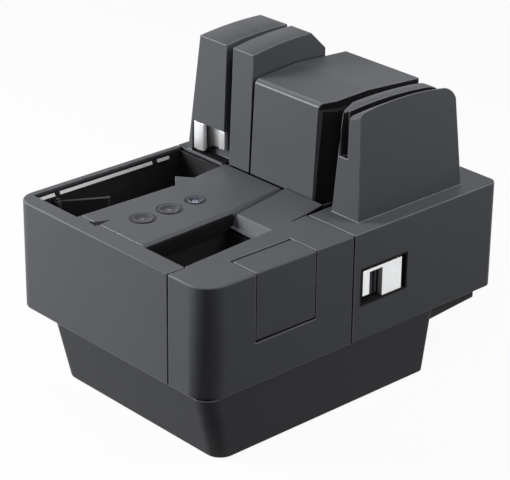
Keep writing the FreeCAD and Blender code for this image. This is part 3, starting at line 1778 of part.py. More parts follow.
def build_right_cover():
    """Right opening cover: an arched tower with a narrow slot, its deck, the side wall and a corner."""
    cover = Moulding("right_cover")
    x_inner = across(right_outer)
    y_front = along(right_cover_start)
    barrel = hinge_spots[1]
    web = barrel[0] + d.hinge_barrel_radius / 2
    outline = [
        (x_inner, y_front),
        (right, y_front),
        (right, back),
        (web, back),
        (web, along(d.barrel_web)),
        (x_inner, along(d.barrel_web)),
    ]
    cover.pad([outline], cover_bottom, deck)
    cover.round(d.rear_corner_radius, (right, back, middle_height))
    inner_round = d.rear_corner_radius - d.skin
    hollow = rounded_outline(
        left, y_front - d.overrun, right - d.skin, back - d.skin, None, None, inner_round, None
    )
    cover.pocket([hollow], cover_bottom - d.overrun, deck_under)
    cover.pad([Ring(barrel, d.hinge_barrel_radius)], d.barrel_bottom, deck)
    y_low = along(d.right_tower_front)
    shoulder = y_low + d.tower_lean / 2
    profile = [
        (y_low, deck_under),
        (along(d.right_tower_back), deck_under),
        (along(d.right_tower_back), deck),
        (along(d.right_rear_top), d.right_rear_height),
        Arch((along(d.right_crown_back), d.right_crown_back_height), d.rear_crown_share),
        Arch((shoulder + d.right_shoulder_reach, d.right_shoulder_height), d.right_crown_share),
        Arch((shoulder, d.right_shoulder_front), d.shoulder_share),
        (y_low, deck),
    ]
    x_side = across(d.right_tower_side)
    cover.pad([profile], x_inner, x_side, "YZ_Plane")
    above = d.right_tower_top + 2 * d.overrun
    lean = [
        (x_side, deck),
        (x_side + d.overrun, deck),
        (x_side + d.overrun, above),
        (x_side - d.right_tower_side_lean, above),
    ]
    cover.pocket([lean], y_low - d.overrun, along(d.right_tower_back) + d.overrun, "XZ_Plane")
    x_mouth = across(d.mouth_across)
    mouth = [
        (x_inner - d.overrun, y_low - d.overrun),
        (x_mouth, y_low - d.overrun),
        (x_mouth, y_low + d.overrun),
        (x_inner, along(d.mouth_end)),
        (x_inner - d.overrun, along(d.mouth_end)),
    ]
    mouth_high = [(across(d.mouth_top) if x is mouth[1][0] else x, y) for x, y in mouth]
    cover.loft(mouth, deck, mouth_high, above, hollow=True)
    slot = box_outline(
        across(d.card_slot_left),
        y_low - d.overrun,
        across(d.card_slot_right),
        along(d.right_tower_back) + d.overrun,
    )
    cover.pocket([slot], d.card_slot_floor, above)
    flare = [
        (across(d.card_slot_flare), y_low - d.overrun),
        (across(d.card_slot_left) + d.overrun, y_low - d.overrun),
        (across(d.card_slot_left) + d.overrun, y_low + d.card_slot_flare_depth),
        (across(d.card_slot_left), y_low + d.card_slot_flare_depth),
        (across(d.card_slot_flare), y_low + d.tower_lean / 2),
    ]
    cover.pocket([flare], d.card_slot_floor, above)
    wall = d.skin
    hollow = box_outline(
        x_inner + wall,
        along(d.mouth_end) + wall,
        x_side - d.right_tower_side_lean - wall,
        along(d.right_rear_top) - wall,
    )
    cover.pocket([hollow], deck_under - d.overrun, d.card_slot_floor - wall)
    bay_wall = box_outline(
        along(d.latch_bay_front) - wall,
        d.latch_bay_bottom - wall,
        along(d.latch_bay_back) + wall,
        d.latch_bay_top + wall,
    )
    depth = right - d.latch_bay_depth
    cover.pad([bay_wall], depth - wall, right - wall / 2, "YZ_Plane")
    bay = box_outline(
        along(d.latch_bay_front), d.latch_bay_bottom, along(d.latch_bay_back), d.latch_bay_top
    )
    cover.pocket([bay], depth, right + d.overrun, "YZ_Plane")
    cover.pocket(
        [Ring(right_latch_axis(), d.lever_pin_radius)],
        d.latch_bay_bottom - wall / 2,
        d.latch_bay_top + wall / 2,
    )
    cover.pocket(
        [Ring(barrel, d.hinge_pin_radius + d.shaft_fit)],
        d.barrel_bottom - d.overrun,
        d.hinge_pin_top + d.overrun,
    )


def build_right_latch():
    """Release lever in the right side, with a finger hollow that is open below."""
    latch = Moulding("right_latch")
    face = right - d.latch_face_inset
    outline = box_outline(along(d.latch_front), d.latch_bottom, along(d.latch_back), d.latch_top)
    latch.pad([outline], face - d.latch_thickness, face, "YZ_Plane")
    grip = box_outline(
        along(d.latch_grip_front),
        d.latch_bottom - d.overrun,
        along(d.latch_grip_back),
        d.latch_grip_top,
    )
    latch.pocket([grip], face - d.latch_grip_depth, face + d.overrun, "YZ_Plane")
    toe = box_outline(
        along(d.latch_front) - d.overrun,
        d.latch_bottom - d.overrun,
        along(d.latch_grip_front),
        d.latch_bottom + d.latch_toe,
    )
    latch.pocket([toe], face - d.latch_grip_depth, face + d.overrun, "YZ_Plane")
    axis = right_latch_axis()
    latch.pocket(
        [Ring(axis, d.lever_pin_radius + d.shaft_fit)],
        d.latch_bottom - d.overrun,
        d.latch_top + d.overrun,
    )
    start = d.latch_bay_bottom - d.skin / 2
    length = d.latch_bay_top + d.skin / 2 - start
    pin = rod("right_latch_pin", d.lever_pin_radius, (axis[0], axis[1], start), length)
    node(pin, "right_latch_pin")


def build_guide_plates():
    """Outer walls of the straight tracks. Each opens with its cover and carries a pinch roller."""
    reach = d.pinch_radius + d.roller_window
    top = deck_under
    low = d.tray_floor + d.loose_fit
    window = box_outline(left_pinch[1] - reach, window_low, left_pinch[1] + reach, window_high)
    side = Moulding("left_guide_plate")
    x_face = across(left_outer)
    start = along(d.left_cover_front) + d.skin
    end = along(d.guide_start)
    side.pad([box_outline(x_face - d.track_wall, start, x_face, end)], low, top)
    side.pocket([window], x_face - 2 * d.track_wall, x_face + d.overrun, "YZ_Plane")
    sensor = box_outline(
        along(d.sensor_along) - d.loose_fit,
        low + d.loose_fit,
        along(d.sensor_along + d.sensor_width) + d.loose_fit,
        top + d.overrun,
    )
    side.pocket([sensor], x_face - 2 * d.track_wall, x_face + d.overrun, "YZ_Plane")
    lug = box_outline(
        left_pinch[0] - d.axle_radius - d.tray_wall,
        left_pinch[1] - d.lug_half_width,
        x_face - d.track_wall / 2,
        left_pinch[1] + d.lug_half_width,
    )
    add_lugs(side, lug, left_pinch)

    other = Moulding("right_guide_plate")
    x_face = across(right_outer)
    start = along(right_cover_start) + d.skin
    other.pad([box_outline(x_face, start, x_face + d.track_wall, along(d.frame_back))], low, top)
    other.pocket([window], x_face - d.overrun, x_face + 2 * d.track_wall, "YZ_Plane")
    lug = box_outline(
        x_face + d.track_wall / 2,
        right_pinch[1] - d.lug_half_width,
        right_pinch[0] + d.axle_radius + d.tray_wall,
        right_pinch[1] + d.lug_half_width,
    )
    add_lugs(other, lug, right_pinch)


def build_drive():
    """Belt-driven shafts with their rollers, the motor below the plate and the sprung-side rollers."""
    low = d.skirt_bottom
    names = ("feed", "left_drive", "rear_drive", "right_drive")
    for label, place in zip(names, drive_spots):
        tyre_radius = d.feed_radius if label == "feed" else d.drive_radius
        pulley_shaft(f"{label}_shaft", place, low, d.drive_shaft_top, d.shaft_radius)
        tyre = Moulding(f"{label}_roller")
        tyre.revolve(
            [
                (d.shaft_radius, d.roller_bottom),
                (tyre_radius, d.roller_bottom),
                (tyre_radius, d.roller_top),
                (d.shaft_radius, d.roller_top),
            ]
        )
        tyre.place(*place)
    motor_low = d.skirt_bottom - d.motor_height
    top = d.belt_bottom + d.belt_width + 2 * d.pulley_flange_thickness
    pulley_shaft("motor_pulley", motor_spot, low - d.motor_flange, top, d.motor_shaft_radius)
    can = rod("motor_can", d.motor_radius, (*motor_spot, motor_low), d.motor_height)
    mouth = rod(
        "motor_mouth",
        d.motor_shaft_radius + d.shaft_fit,
        (*motor_spot, low - 2 * d.motor_flange),
        3 * d.motor_flange,
    )
    node(cut("drive_motor", can, mouth), "drive_motor")
    ends = (("left", left_pinch), ("rear", rear_pinch), ("right", right_pinch))
    axle_low = window_low - d.lug_gap - d.lug_thickness
    axle_high = window_high + d.lug_gap + d.lug_thickness
    for side, place in ends:
        roller = Moulding(f"{side}_pinch_roller")
        roller.revolve(
            [
                (0, axle_low),
                (d.axle_radius, axle_low),
                (d.axle_radius, d.roller_bottom),
                (d.pinch_radius, d.roller_bottom),
                (d.pinch_radius, d.roller_top),
                (d.axle_radius, d.roller_top),
                (d.axle_radius, axle_high),
                (0, axle_high),
            ]
        )
        roller.place(*place)
    build_belt()


def pulley_shaft(label, place, low, high, radius):
    """A shaft with its flanged pulley, turned in one piece."""
    edge = d.pulley_radius + d.pulley_flange
    belt_low = d.belt_bottom - d.loose_fit
    belt_high = d.belt_bottom + d.belt_width + d.loose_fit
    shaft = Moulding(label)
    shaft.revolve(
        [
            (0, low),
            (radius, low),
            (radius, belt_low - d.pulley_flange_thickness),
            (edge, belt_low - d.pulley_flange_thickness),
            (edge, belt_low),
            (d.pulley_radius, belt_low),
            (d.pulley_radius, belt_high),
            (radius, belt_high),
            (radius, high + d.overrun),
            (0, high + d.overrun),
        ]
    )
    shaft.place(*place)


def build_belt():
    """Flat belt round all five pulleys: a loop through their centres, offset to inside and outside."""
    route = doc.addObject("Sketcher::SketchObject", "belt_route")
    route.Placement.Base.z = 0
    bind(route, "Placement.Base.z", d.belt_bottom)
    add_outline(route, [feed_drive, motor_spot, right_drive, rear_drive, left_drive])
    loops = []
    inside = d.pulley_radius + d.belt_gap
    for name, reach in (("belt_inside", inside), ("belt_outside", inside + d.belt_thickness)):
        ring = doc.addObject("Part::Offset2D", f"{name}_line")
        ring.Source = route
        ring.Join = "Arc"
        bind(ring, "Value", reach)
        solid = doc.addObject("Part::Extrusion", name)
        solid.Base = ring
        solid.DirMode = "Custom"
        solid.Dir = FreeCAD.Vector(0, 0, 1)
        solid.Solid = True
        bind(solid, "LengthFwd", d.belt_width)
        loops.append(solid)
    node(cut("drive_belt", loops[1], loops[0]), "drive_belt")


def build_sensors():
    """Two upright line sensors facing each other's track, the magnetic head and the separation pad."""
    low = d.tray_floor + 2 * d.loose_fit
    high = d.hood_height - 2 * d.loose_fit
    glass = d.sensor_glass
    x_left = across(left_outer)
    y_left = along(d.sensor_along)
    y_left_end = y_left + d.sensor_width
    node(
        block(
            "left_image_sensor", (x_left - d.sensor_depth, x_left - glass), (y_left, y_left_end), (low, high)
        ),
        "left_image_sensor",
    )
    node(
        block("left_sensor_glass", (x_left - glass, x_left), (y_left, y_left_end), (low, high)),
        "left_sensor_glass",
    )
    x_right = across(right_inner)
    y_right = along(d.sensor_along + d.sensor_width) + d.loose_fit
    y_right_end = y_right + d.sensor_width - 2 * d.loose_fit
    node(
        block(
            "right_image_sensor",
            (x_right - d.sensor_depth, x_right - glass),
            (y_right, y_right_end),
            (low, high),
        ),
        "right_image_sensor",
    )
    node(
        block("right_sensor_glass", (x_right - glass, x_right), (y_right, y_right_end), (low, high)),
        "right_sensor_glass",
    )
    x_head = across(left_inner)
    head = block(
        "magnetic_head",
        (x_head, x_head + d.head_depth),
        (along(d.head_along), along(d.head_along) + d.head_width),
        (d.tray_floor, d.tray_floor + d.head_height),
    )
    node(head, "magnetic_head")
    pad = block(
        "separation_pad",
        (x_left, x_left + d.pad_proud),
        (along(d.pad_along), along(d.pad_along) + d.pad_length),
        (d.roller_bottom, d.roller_top),
    )
    node(pad, "separation_pad")


def build_boards():
    """Main board on its four posts inside the lower case."""
    low = case_bottom + d.case_floor + d.standoff_height
    corners = board_corners()
    margin = d.standoff_radius
    board = block(
        "main_board",
        (corners[0][0] - margin, corners[2][0] + margin),
        (corners[0][1] - margin, corners[2][1] + margin),
        (low, low + d.board_thickness),
    )
    node(board, "main_board")


def build_hinge_pins():
    for label, place in zip(("left_hinge_pin", "right_hinge_pin"), hinge_spots):
        start = (place[0], place[1], d.skirt_bottom)
        node(rod(label, d.hinge_pin_radius, start, d.hinge_pin_top - d.skirt_bottom), label)


def check_and_write():
    """Stops on any object that failed, then writes one STEP file for each sub-part."""
    doc.recompute()
    for thing in doc.Objects:
        if "Invalid" in thing.State or "Error" in thing.State:
            raise RuntimeError(f"{thing.Name} failed: {thing.State}")
    for thing in NODES:
        if thing.Shape.isNull() or not thing.Shape.isValid() or not thing.Shape.Solids:
            raise RuntimeError(f"{thing.Label} has no valid solid")
    os.makedirs("parts", exist_ok=True)
    for thing in NODES:
        thing.Shape.exportStep(f"parts/{thing.Label}.step")
    print(f"{len(NODES)} sub-parts written")


build_lower_case()
build_feet()
build_chassis_plate()
build_front_cover()
build_corner_cover()
build_imprinter()
build_hopper()
build_pocket()
build_control_plate()
build_keys()
build_exit_cover()
build_track_frame()
build_exit_guide()
build_inner_track_cover()
build_center_cover()
build_rear_guide()
build_rear_cover()
build_sockets()
build_left_cover()
build_left_lever()
build_right_cover()
build_right_latch()
build_guide_plates()
build_drive()
build_sensors()
build_boards()
build_hinge_pins()
check_and_write()
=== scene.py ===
import json
import math

import bmesh
import bpy
from mathutils import Matrix, Vector


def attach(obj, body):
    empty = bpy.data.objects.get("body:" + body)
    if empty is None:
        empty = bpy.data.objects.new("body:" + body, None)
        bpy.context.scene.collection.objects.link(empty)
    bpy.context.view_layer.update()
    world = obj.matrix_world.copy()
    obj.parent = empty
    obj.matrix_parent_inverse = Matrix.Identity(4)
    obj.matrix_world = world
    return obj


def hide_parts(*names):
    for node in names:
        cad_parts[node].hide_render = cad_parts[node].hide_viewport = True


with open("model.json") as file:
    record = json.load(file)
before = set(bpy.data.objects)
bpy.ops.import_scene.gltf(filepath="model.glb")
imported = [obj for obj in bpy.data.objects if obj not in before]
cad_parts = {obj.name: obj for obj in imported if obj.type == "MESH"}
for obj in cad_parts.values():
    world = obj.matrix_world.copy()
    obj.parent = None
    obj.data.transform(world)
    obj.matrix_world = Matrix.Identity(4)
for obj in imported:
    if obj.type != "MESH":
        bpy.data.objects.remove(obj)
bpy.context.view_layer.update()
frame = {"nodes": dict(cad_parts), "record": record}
nodes = frame["nodes"]

# Every length is in metres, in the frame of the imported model. A Form alone is drawn in millimetres,
# counted from the left face, the front face and the floor, and so are the places named here.
MM = 0.001
LEFT_FACE = -115.0
FRONT_FACE = -158.0
TO_FRAME = Matrix.Translation(Vector((LEFT_FACE, FRONT_FACE, 0)) * MM) @ Matrix.Scale(MM, 4)

ROUND_STEPS = 48
EDGE_SOFTNESS = 0.8 * MM
FINE_EDGE_SOFTNESS = 0.25 * MM
SHARP_ANGLE = math.radians(28)
FLAT_ANGLE = math.radians(0.4)
FACING_RIGHT = Matrix(((0, 0, 1), (1, 0, 0), (0, 1, 0)))
FACING_BACK = Matrix(((-1, 0, 0), (0, 0, 1), (0, 1, 0)))
FACING_DOWN = Matrix(((1, 0, 0), (0, -1, 0), (0, 0, -1)))

# The deck, whose rim is rounded between these heights.
DECK = 149.0
RIM_LOW = 145.5
RIM_HIGH = 149.3

# The middle cover's right edge, seen from above.
BLOCK_EDGE = (
    (160.4, 165),
    (160.4, 176.8),
    (166.4, 191.2),
    (169.2, 219.8),
    (171.2, 276.5),
    (171.3, 300),
)

# The keys stand in a row, and their signs lie in their dishes.
KEY_X = 98.0
START_Y = 50.5
STOP_Y = 77.6
POWER_Y = 104.5
PRINT_LEVEL = 148.02
PRINT_TOP = PRINT_LEVEL + 0.06

TRAY_FLOOR = 97.9
BOARD_TOP = 9.6

CHARCOAL = (0.094, 0.098, 0.107)
CASE_CHARCOAL = (0.040, 0.042, 0.047)
TRAY_BLACK = (0.021, 0.021, 0.023)
SILVER = (0.82, 0.83, 0.84)
STEEL = (0.56, 0.56, 0.57)
WHITE = (1.0, 1.0, 1.0, 1.0)
# How much paler than the plastic its painted highlights are, on the broken edges and on the deck's
# rounded rim.
EDGE_HIGHLIGHT = 1.75

# The camera stands where the straight edges of the body in the picture put it.
CAMERA_PLACE = (1.16354, -1.0745, 0.83234)
CAMERA_TURN = math.radians(47.39)
CAMERA_DROP = math.radians(24.70)
CAMERA_ROLL = math.radians(0.7)
LENS = 151.58
SENSOR_WIDTH = 36.0

# Each lamp has a place, a width and a power in watts.
LAMPS = {
    "front_left_lamp": ((-0.84, -0.88, 0.66), 0.7, 23),
    "top_lamp": ((0.34, 0.12, 1.15), 0.5, 3.1),
    "right_lamp": ((0.44, 0.26, 0.56), 0.3, 1.4),
}
LAMP_TARGET = Vector((0, 0, 0.12))
FLOOR_REACH = 6.0
FLOOR_GLOW = 0.94
SKY_LIGHT = 0.01


class Value:
    """A number that changes over a surface. Sums of values become Math nodes."""

    def __init__(self, finish, socket):
        self.finish = finish
        self.socket = socket

    def math(self, operation, *numbers):
        made = self.finish.node("ShaderNodeMath", {"operation": operation})
        for place, number in enumerate(numbers):
            self.finish.plug(made.inputs[place], number)
        return Value(self.finish, made.outputs[0])

    def __add__(self, other):
        return self.math("ADD", self, other)

    def __radd__(self, other):
        return self.math("ADD", other, self)

    def __sub__(self, other):
        return self.math("SUBTRACT", self, other)

    def __rsub__(self, other):
        return self.math("SUBTRACT", other, self)

    def __mul__(self, other):
        return self.math("MULTIPLY", self, other)

    def __rmul__(self, other):
        return self.math("MULTIPLY", other, self)

    def __truediv__(self, other):
        return self.math("DIVIDE", self, other)

    def __gt__(self, other):
        return self.math("GREATER_THAN", self, other)

    def __lt__(self, other):
        return self.math("LESS_THAN", self, other)


class Finish:
    """A material with a principled shader, whose patterns lie on the object's own coordinates."""

    def __init__(self, name, colour, roughness, fixed=None):
        self.material = bpy.data.materials.new(name)
        self.material.use_nodes = True
        self.tree = self.material.node_tree
        self.shader = self.tree.nodes["Principled BSDF"]
        self.colour = (*colour, 1.0)
        self.shader.inputs["Base Color"].default_value = self.colour
        self.shader.inputs["Roughness"].default_value = roughness
        for socket, number in (fixed or {}).items():
            self.shader.inputs[socket].default_value = number
        self.height = None
        self._place = None

    def node(self, kind, settings=None, sockets=None):
        made = self.tree.nodes.new(kind)
        for name, setting in (settings or {}).items():
            if name == "stops":
                ramp = made.color_ramp.elements
                while len(ramp) < len(setting):
                    ramp.new(1.0)
                for stop, (position, grey) in zip(ramp, setting):
                    stop.position = position
                    stop.color = (grey, grey, grey, 1.0)
            else:
                setattr(made, name, setting)
        for name, source in (sockets or {}).items():
            self.plug(made.inputs[name], source)
        return made

    def plug(self, socket, source):
        if isinstance(source, Value):
            self.tree.links.new(source.socket, socket)
        else:
            socket.default_value = source

    @property
    def place(self):
        if self._place is None:
            self._place = Value(self, self.node("ShaderNodeTexCoord").outputs["Object"])
        return self._place

    def along(self, letter):
        """One coordinate of the surface point, in metres."""
        parts = self.node("ShaderNodeSeparateXYZ", None, {"Vector": self.place})
        return Value(self, parts.outputs[letter])

    def stretched(self, x, y, z):
        """The surface point with its axes scaled, so that a pattern runs long along one of them."""
        sockets = {0: self.place, 1: (x, y, z)}
        made = self.node("ShaderNodeVectorMath", {"operation": "MULTIPLY"}, sockets)
        return Value(self, made.outputs[0])

    def noise(self, size, detail=2.0, place=None):
        """Even noise from 0 to 1 whose blobs are about a size across."""
        made = self.node(
            "ShaderNodeTexNoise",
            {"noise_dimensions": "3D"},
            {"Vector": place or self.place, "Scale": 1 / size, "Detail": detail},
        )
        return Value(self, made.outputs["Fac"])

    def cells(self, size, feature="F1"):
        """Distance to the nearest of many scattered points, about a size apart."""
        made = self.node(
            "ShaderNodeTexVoronoi", {"feature": feature}, {"Vector": self.place, "Scale": 1 / size}
        )
        return Value(self, made.outputs["Distance"])

    def ramp(self, value, *stops):
        made = self.node("ShaderNodeValToRGB", {"stops": stops}, {"Fac": value})
        return Value(self, made.outputs["Color"])

    def waves(self, letter, pitch):
        """Ridges across one axis, from -1 to 1."""
        turn = self.along(letter) * (2 * math.pi / pitch)
        return turn.math("SINE", turn)

    def paint(self, mask, colour):
        """Lays another colour over the finish where the mask is 1."""
        mix = self.node("ShaderNodeMix", {"data_type": "RGBA"}, {"Factor": mask})
        sockets = [each for each in mix.inputs if each.type == "RGBA"]
        base = self.shader.inputs["Base Color"]
        if base.links:
            self.tree.links.new(base.links[0].from_socket, sockets[0])
        else:
            sockets[0].default_value = self.colour
        sockets[1].default_value = (*colour, 1.0)
        output = next(each for each in mix.outputs if each.type == "RGBA")
        self.tree.links.new(output, base)
        return self

    def vary(self, socket, value):
        self.plug(self.shader.inputs[socket], value)
        return self

    def raise_by(self, value, depth):
        """Adds relief of a depth, which the finish shows through one Bump node."""
        step = value * depth
        self.height = step if self.height is None else self.height + step
        return self

    def rounded_rim(self):
        """1 on the rounded rim of the deck, between its top face and the walls."""
        facing = self.node("ShaderNodeNewGeometry").outputs["True Normal"]
        parts = self.node("ShaderNodeSeparateXYZ", None, {0: Value(self, facing)})
        up = Value(self, parts.outputs["Z"])
        height = self.along("Z") / MM
        slope = self.ramp(up, (0.2, 0.0), (0.35, 1.0), (0.9, 1.0), (0.97, 0.0))
        return slope * (height > RIM_LOW) * (height < RIM_HIGH)

    def seam_shade(self, reach):
        """1 deep in a seam that is narrower than the reach, where painted shade darkens it."""
        made = self.node("ShaderNodeAmbientOcclusion", {"samples": 6}, {"Distance": reach})
        return self.ramp(1 - Value(self, made.outputs["AO"]), (0.3, 0.0), (0.52, 1.0))

    def done(self):
        if self.height is not None:
            sockets = {"Strength": 1.0, "Distance": 1.0, "Height": self.height}
            bump = self.node("ShaderNodeBump", None, sockets)
            self.tree.links.new(bump.outputs["Normal"], self.shader.inputs["Normal"])
        return self.material


def tone(colour, share):
    """The same colour, darker or lighter."""
    return tuple(part * share for part in colour)


def moulded_charcoal(name, colour):
    """Dark grey moulded plastic with a spark-eroded grain, slightly cloudy, with a painted highlight
    on its rim and painted shade in its seams.
    """
    finish = Finish(name, colour, 0.5, {"Specular IOR Level": 0.16})
    grain = finish.noise(0.55 * MM, 3.0)
    pits = finish.cells(0.8 * MM)
    cloud = finish.noise(70 * MM, 2.0)
    finish.paint(finish.ramp(cloud, (0.35, 0.0), (0.7, 0.5)), tone(colour, 1.12))
    finish.paint(finish.ramp(grain, (0.3, 0.55), (0.5, 0.0)), tone(colour, 0.78))
    # Painted highlight on the deck's rounded rim.
    finish.paint(finish.rounded_rim() * (0.5 + 0.4 * grain), tone(colour, EDGE_HIGHLIGHT))
    # Painted shade deep in narrow seams.
    finish.paint(finish.seam_shade(3 * MM) * 0.9, tone(colour, 0.08))
    finish.vary("Roughness", 0.43 + grain * 0.12 + cloud * 0.06)
    finish.raise_by(grain, 0.05 * MM).raise_by(pits, 0.03 * MM)
    return finish.done()


def edge_highlight_and_shade(name, colour):
    """The same plastic along its broken edges, a little shinier, with a painted highlight in pale
    patches and painted shade deep in its seams.
    """
    finish = Finish(name, colour, 0.4, {"Specular IOR Level": 0.35})
    grain = finish.noise(0.55 * MM, 3.0)
    highlight_spread = finish.noise(14 * MM, 3.0)
    # Painted highlight along the edges, in patches.
    finish.paint(finish.ramp(highlight_spread, (0.3, 0.35), (0.62, 1.0)), tone(colour, EDGE_HIGHLIGHT))
    finish.paint(finish.ramp(grain, (0.36, 0.5), (0.5, 0.0)), tone(colour, 0.9))
    # Painted shade deep in narrow seams.
    finish.paint(finish.seam_shade(3 * MM), tone(colour, 0.04))
    finish.vary("Roughness", 0.34 + grain * 0.14)
    finish.raise_by(grain, 0.03 * MM)
    return finish.done()


def moulded_black():
    """Near-black moulded plastic of the trays."""
    finish = Finish("moulded_black", TRAY_BLACK, 0.46, {"Specular IOR Level": 0.4})
    grain = finish.noise(0.45 * MM, 3.0)
    rubs = finish.noise(9 * MM, 3.0, finish.stretched(1.0, 0.12, 1.0))
    finish.paint(finish.ramp(rubs, (0.55, 0.0), (0.75, 0.6)), tone(TRAY_BLACK, 2.1))
    finish.vary("Roughness", 0.4 + grain * 0.14)
    finish.raise_by(grain, 0.035 * MM)
    return finish.done()


def frame_black():
    """Glass-filled black plastic of the parts round the track."""
    base = (0.03, 0.03, 0.032)
    finish = Finish("frame_black", base, 0.5, {"Specular IOR Level": 0.4})
    fibre = finish.noise(1.6 * MM, 4.0, finish.stretched(0.35, 1.0, 1.0))
    grain = finish.noise(0.3 * MM, 2.0)
    finish.paint(finish.ramp(fibre, (0.5, 0.0), (0.72, 0.7)), tone(base, 1.9))
    finish.vary("Roughness", 0.42 + fibre * 0.2)
    finish.raise_by(fibre, 0.02 * MM).raise_by(grain, 0.02 * MM)
    return finish.done()


def black_and_painted_shade():
    """Matt black that paints shade into linings and recesses, keeping what is behind them dark; the
    lamp window is black of its own.
    """
    base = (0.007, 0.007, 0.008)
    finish = Finish("black_and_painted_shade", base, 0.7, {"Specular IOR Level": 0.12})
    grain = finish.noise(0.5 * MM, 2.0)
    finish.paint(finish.ramp(grain, (0.5, 0.0), (0.7, 0.5)), tone(base, 1.8))
    finish.vary("Roughness", 0.62 + grain * 0.2)
    finish.raise_by(grain, 0.03 * MM)
    return finish.done()


def satin_key():
    """Smooth dark grey of the start and stop keys, darker than the body's plastic as painted shade of
    their dishes.
    """
    finish = Finish("satin_key", tone(CHARCOAL, 0.6), 0.4, {"Specular IOR Level": 0.2})
    grain = finish.noise(0.3 * MM, 2.0)
    # Painted shade deep in the narrow seams of the keys.
    finish.paint(finish.seam_shade(2 * MM), tone(CHARCOAL, 0.1))
    finish.vary("Roughness", 0.34 + grain * 0.12)
    finish.raise_by(grain, 0.012 * MM)
    return finish.done()


def power_key_blue():
    """Blue-grey of the power key, deeper towards its dished middle."""
    base = (0.020, 0.028, 0.052)
    finish = Finish("power_key_blue", base, 0.32, {"Specular IOR Level": 0.5})
    cloud = finish.noise(3 * MM, 2.0)
    finish.paint(finish.ramp(cloud, (0.35, 0.0), (0.65, 0.5)), tone(base, 0.72))
    finish.vary("Roughness", 0.26 + cloud * 0.14)
    finish.raise_by(finish.noise(0.25 * MM, 1.0), 0.008 * MM)
    return finish.done()


def silver_paint(name="silver_paint", dark_reflection=None):
    """Silver paint with fine flake, and a painted dark reflection from one place across to another.
    """
    finish = Finish(name, SILVER, 0.3, {"Metallic": 0.95})
    flake = finish.cells(0.22 * MM)
    cloud = finish.noise(14 * MM, 2.0)
    finish.paint(finish.ramp(flake, (0.1, 0.6), (0.5, 0.0)), tone(SILVER, 1.3))
    finish.paint(finish.ramp(cloud, (0.4, 0.0), (0.75, 0.35)), tone(SILVER, 0.8))
    if dark_reflection:
        # Painted dark reflection across the lever's scoop, between the two places given.
        across = (finish.along("X") / MM - LEFT_FACE - dark_reflection[0]) / (dark_reflection[1] - dark_reflection[0])
        mask = finish.ramp(across, (0.0, 0.0), (0.05, 1.0), (0.45, 0.85), (1.0, 0.0))
        finish.paint(mask, (0.028, 0.029, 0.03))
    finish.vary("Roughness", 0.34 + flake * 0.16)
    finish.raise_by(flake, 0.012 * MM)
    return finish.done()


def white_strip():
    """White plastic of the hopper's strips, lightly smeared along them."""
    base = (0.95, 0.95, 0.94)
    finish = Finish("white_strip", base, 0.3)
    smear = finish.noise(4 * MM, 2.0, finish.stretched(1.0, 0.2, 1.0))
    finish.paint(finish.ramp(smear, (0.5, 0.0), (0.8, 0.4)), tone(base, 0.82))
    finish.raise_by(finish.noise(0.4 * MM, 2.0), 0.01 * MM)
    return finish.done()


def soft_rubber():
    """Black rubber of the feet, with a little dust."""
    base = (0.018, 0.018, 0.018)
    finish = Finish("soft_rubber", base, 0.75, {"Specular IOR Level": 0.3})
    grain = finish.noise(0.5 * MM, 4.0)
    dust = finish.noise(6 * MM, 4.0)
    finish.paint(finish.ramp(dust, (0.55, 0.0), (0.8, 0.5)), tone(base, 2.6))
    finish.vary("Roughness", 0.66 + grain * 0.2)
    finish.raise_by(grain, 0.05 * MM)
    return finish.done()


def ground_rubber():
    """Dark grey tyre rubber, ground across so that it shows fine upright lines."""
    base = (0.05, 0.05, 0.054)
    finish = Finish("ground_rubber", base, 0.7, {"Specular IOR Level": 0.3})
    lines = finish.noise(0.35 * MM, 3.0, finish.stretched(1.0, 1.0, 0.06))
    finish.paint(finish.ramp(lines, (0.4, 0.5), (0.6, 0.0)), tone(base, 0.6))
    finish.vary("Roughness", 0.6 + lines * 0.2)
    finish.raise_by(lines, 0.06 * MM)
    return finish.done()


def turned_steel():
    """Turned steel, with lines round its upright axis."""
    finish = Finish("turned_steel", STEEL, 0.26, {"Metallic": 1.0})
    lines = finish.noise(0.5 * MM, 3.0, finish.stretched(0.05, 0.05, 1.0))
    finish.paint(finish.ramp(lines, (0.4, 0.4), (0.7, 0.0)), tone(STEEL, 0.75))
    finish.vary("Roughness", 0.2 + lines * 0.2)
    finish.raise_by(lines, 0.01 * MM)
    return finish.done()


def zinc_sheet():
    """Zinc-plated sheet with its rolling direction along the body."""
    base = (0.50, 0.51, 0.52)
    finish = Finish("zinc_sheet", base, 0.38, {"Metallic": 1.0})
    rolling = finish.noise(1.2 * MM, 4.0, finish.stretched(1.0, 0.03, 1.0))
    bloom = finish.noise(18 * MM, 3.0)
    finish.paint(finish.ramp(bloom, (0.4, 0.0), (0.7, 0.4)), tone(base, 0.78))
    finish.vary("Roughness", 0.3 + rolling * 0.16)
    finish.raise_by(rolling, 0.012 * MM)
    return finish.done()


def sensor_black():
    """Fine matt black of the sensors' housings and the chips."""
    base = (0.012, 0.012, 0.013)
    finish = Finish("sensor_black", base, 0.5)
    grain = finish.noise(0.35 * MM, 2.0)
    finish.vary("Roughness", 0.42 + grain * 0.16)
    finish.raise_by(grain, 0.02 * MM)
    return finish.done()


def clear_glass():
    """Clear glass that the sensor reads through, with a faint smear."""
    clear = {"Transmission Weight": 0.85, "IOR": 1.5}
    finish = Finish("clear_glass", (0.86, 0.9, 0.9), 0.03, clear)
    smear = finish.noise(12 * MM, 3.0)
    finish.vary("Roughness", 0.02 + finish.ramp(smear, (0.5, 0.0), (0.8, 0.08)))
    return finish.done()


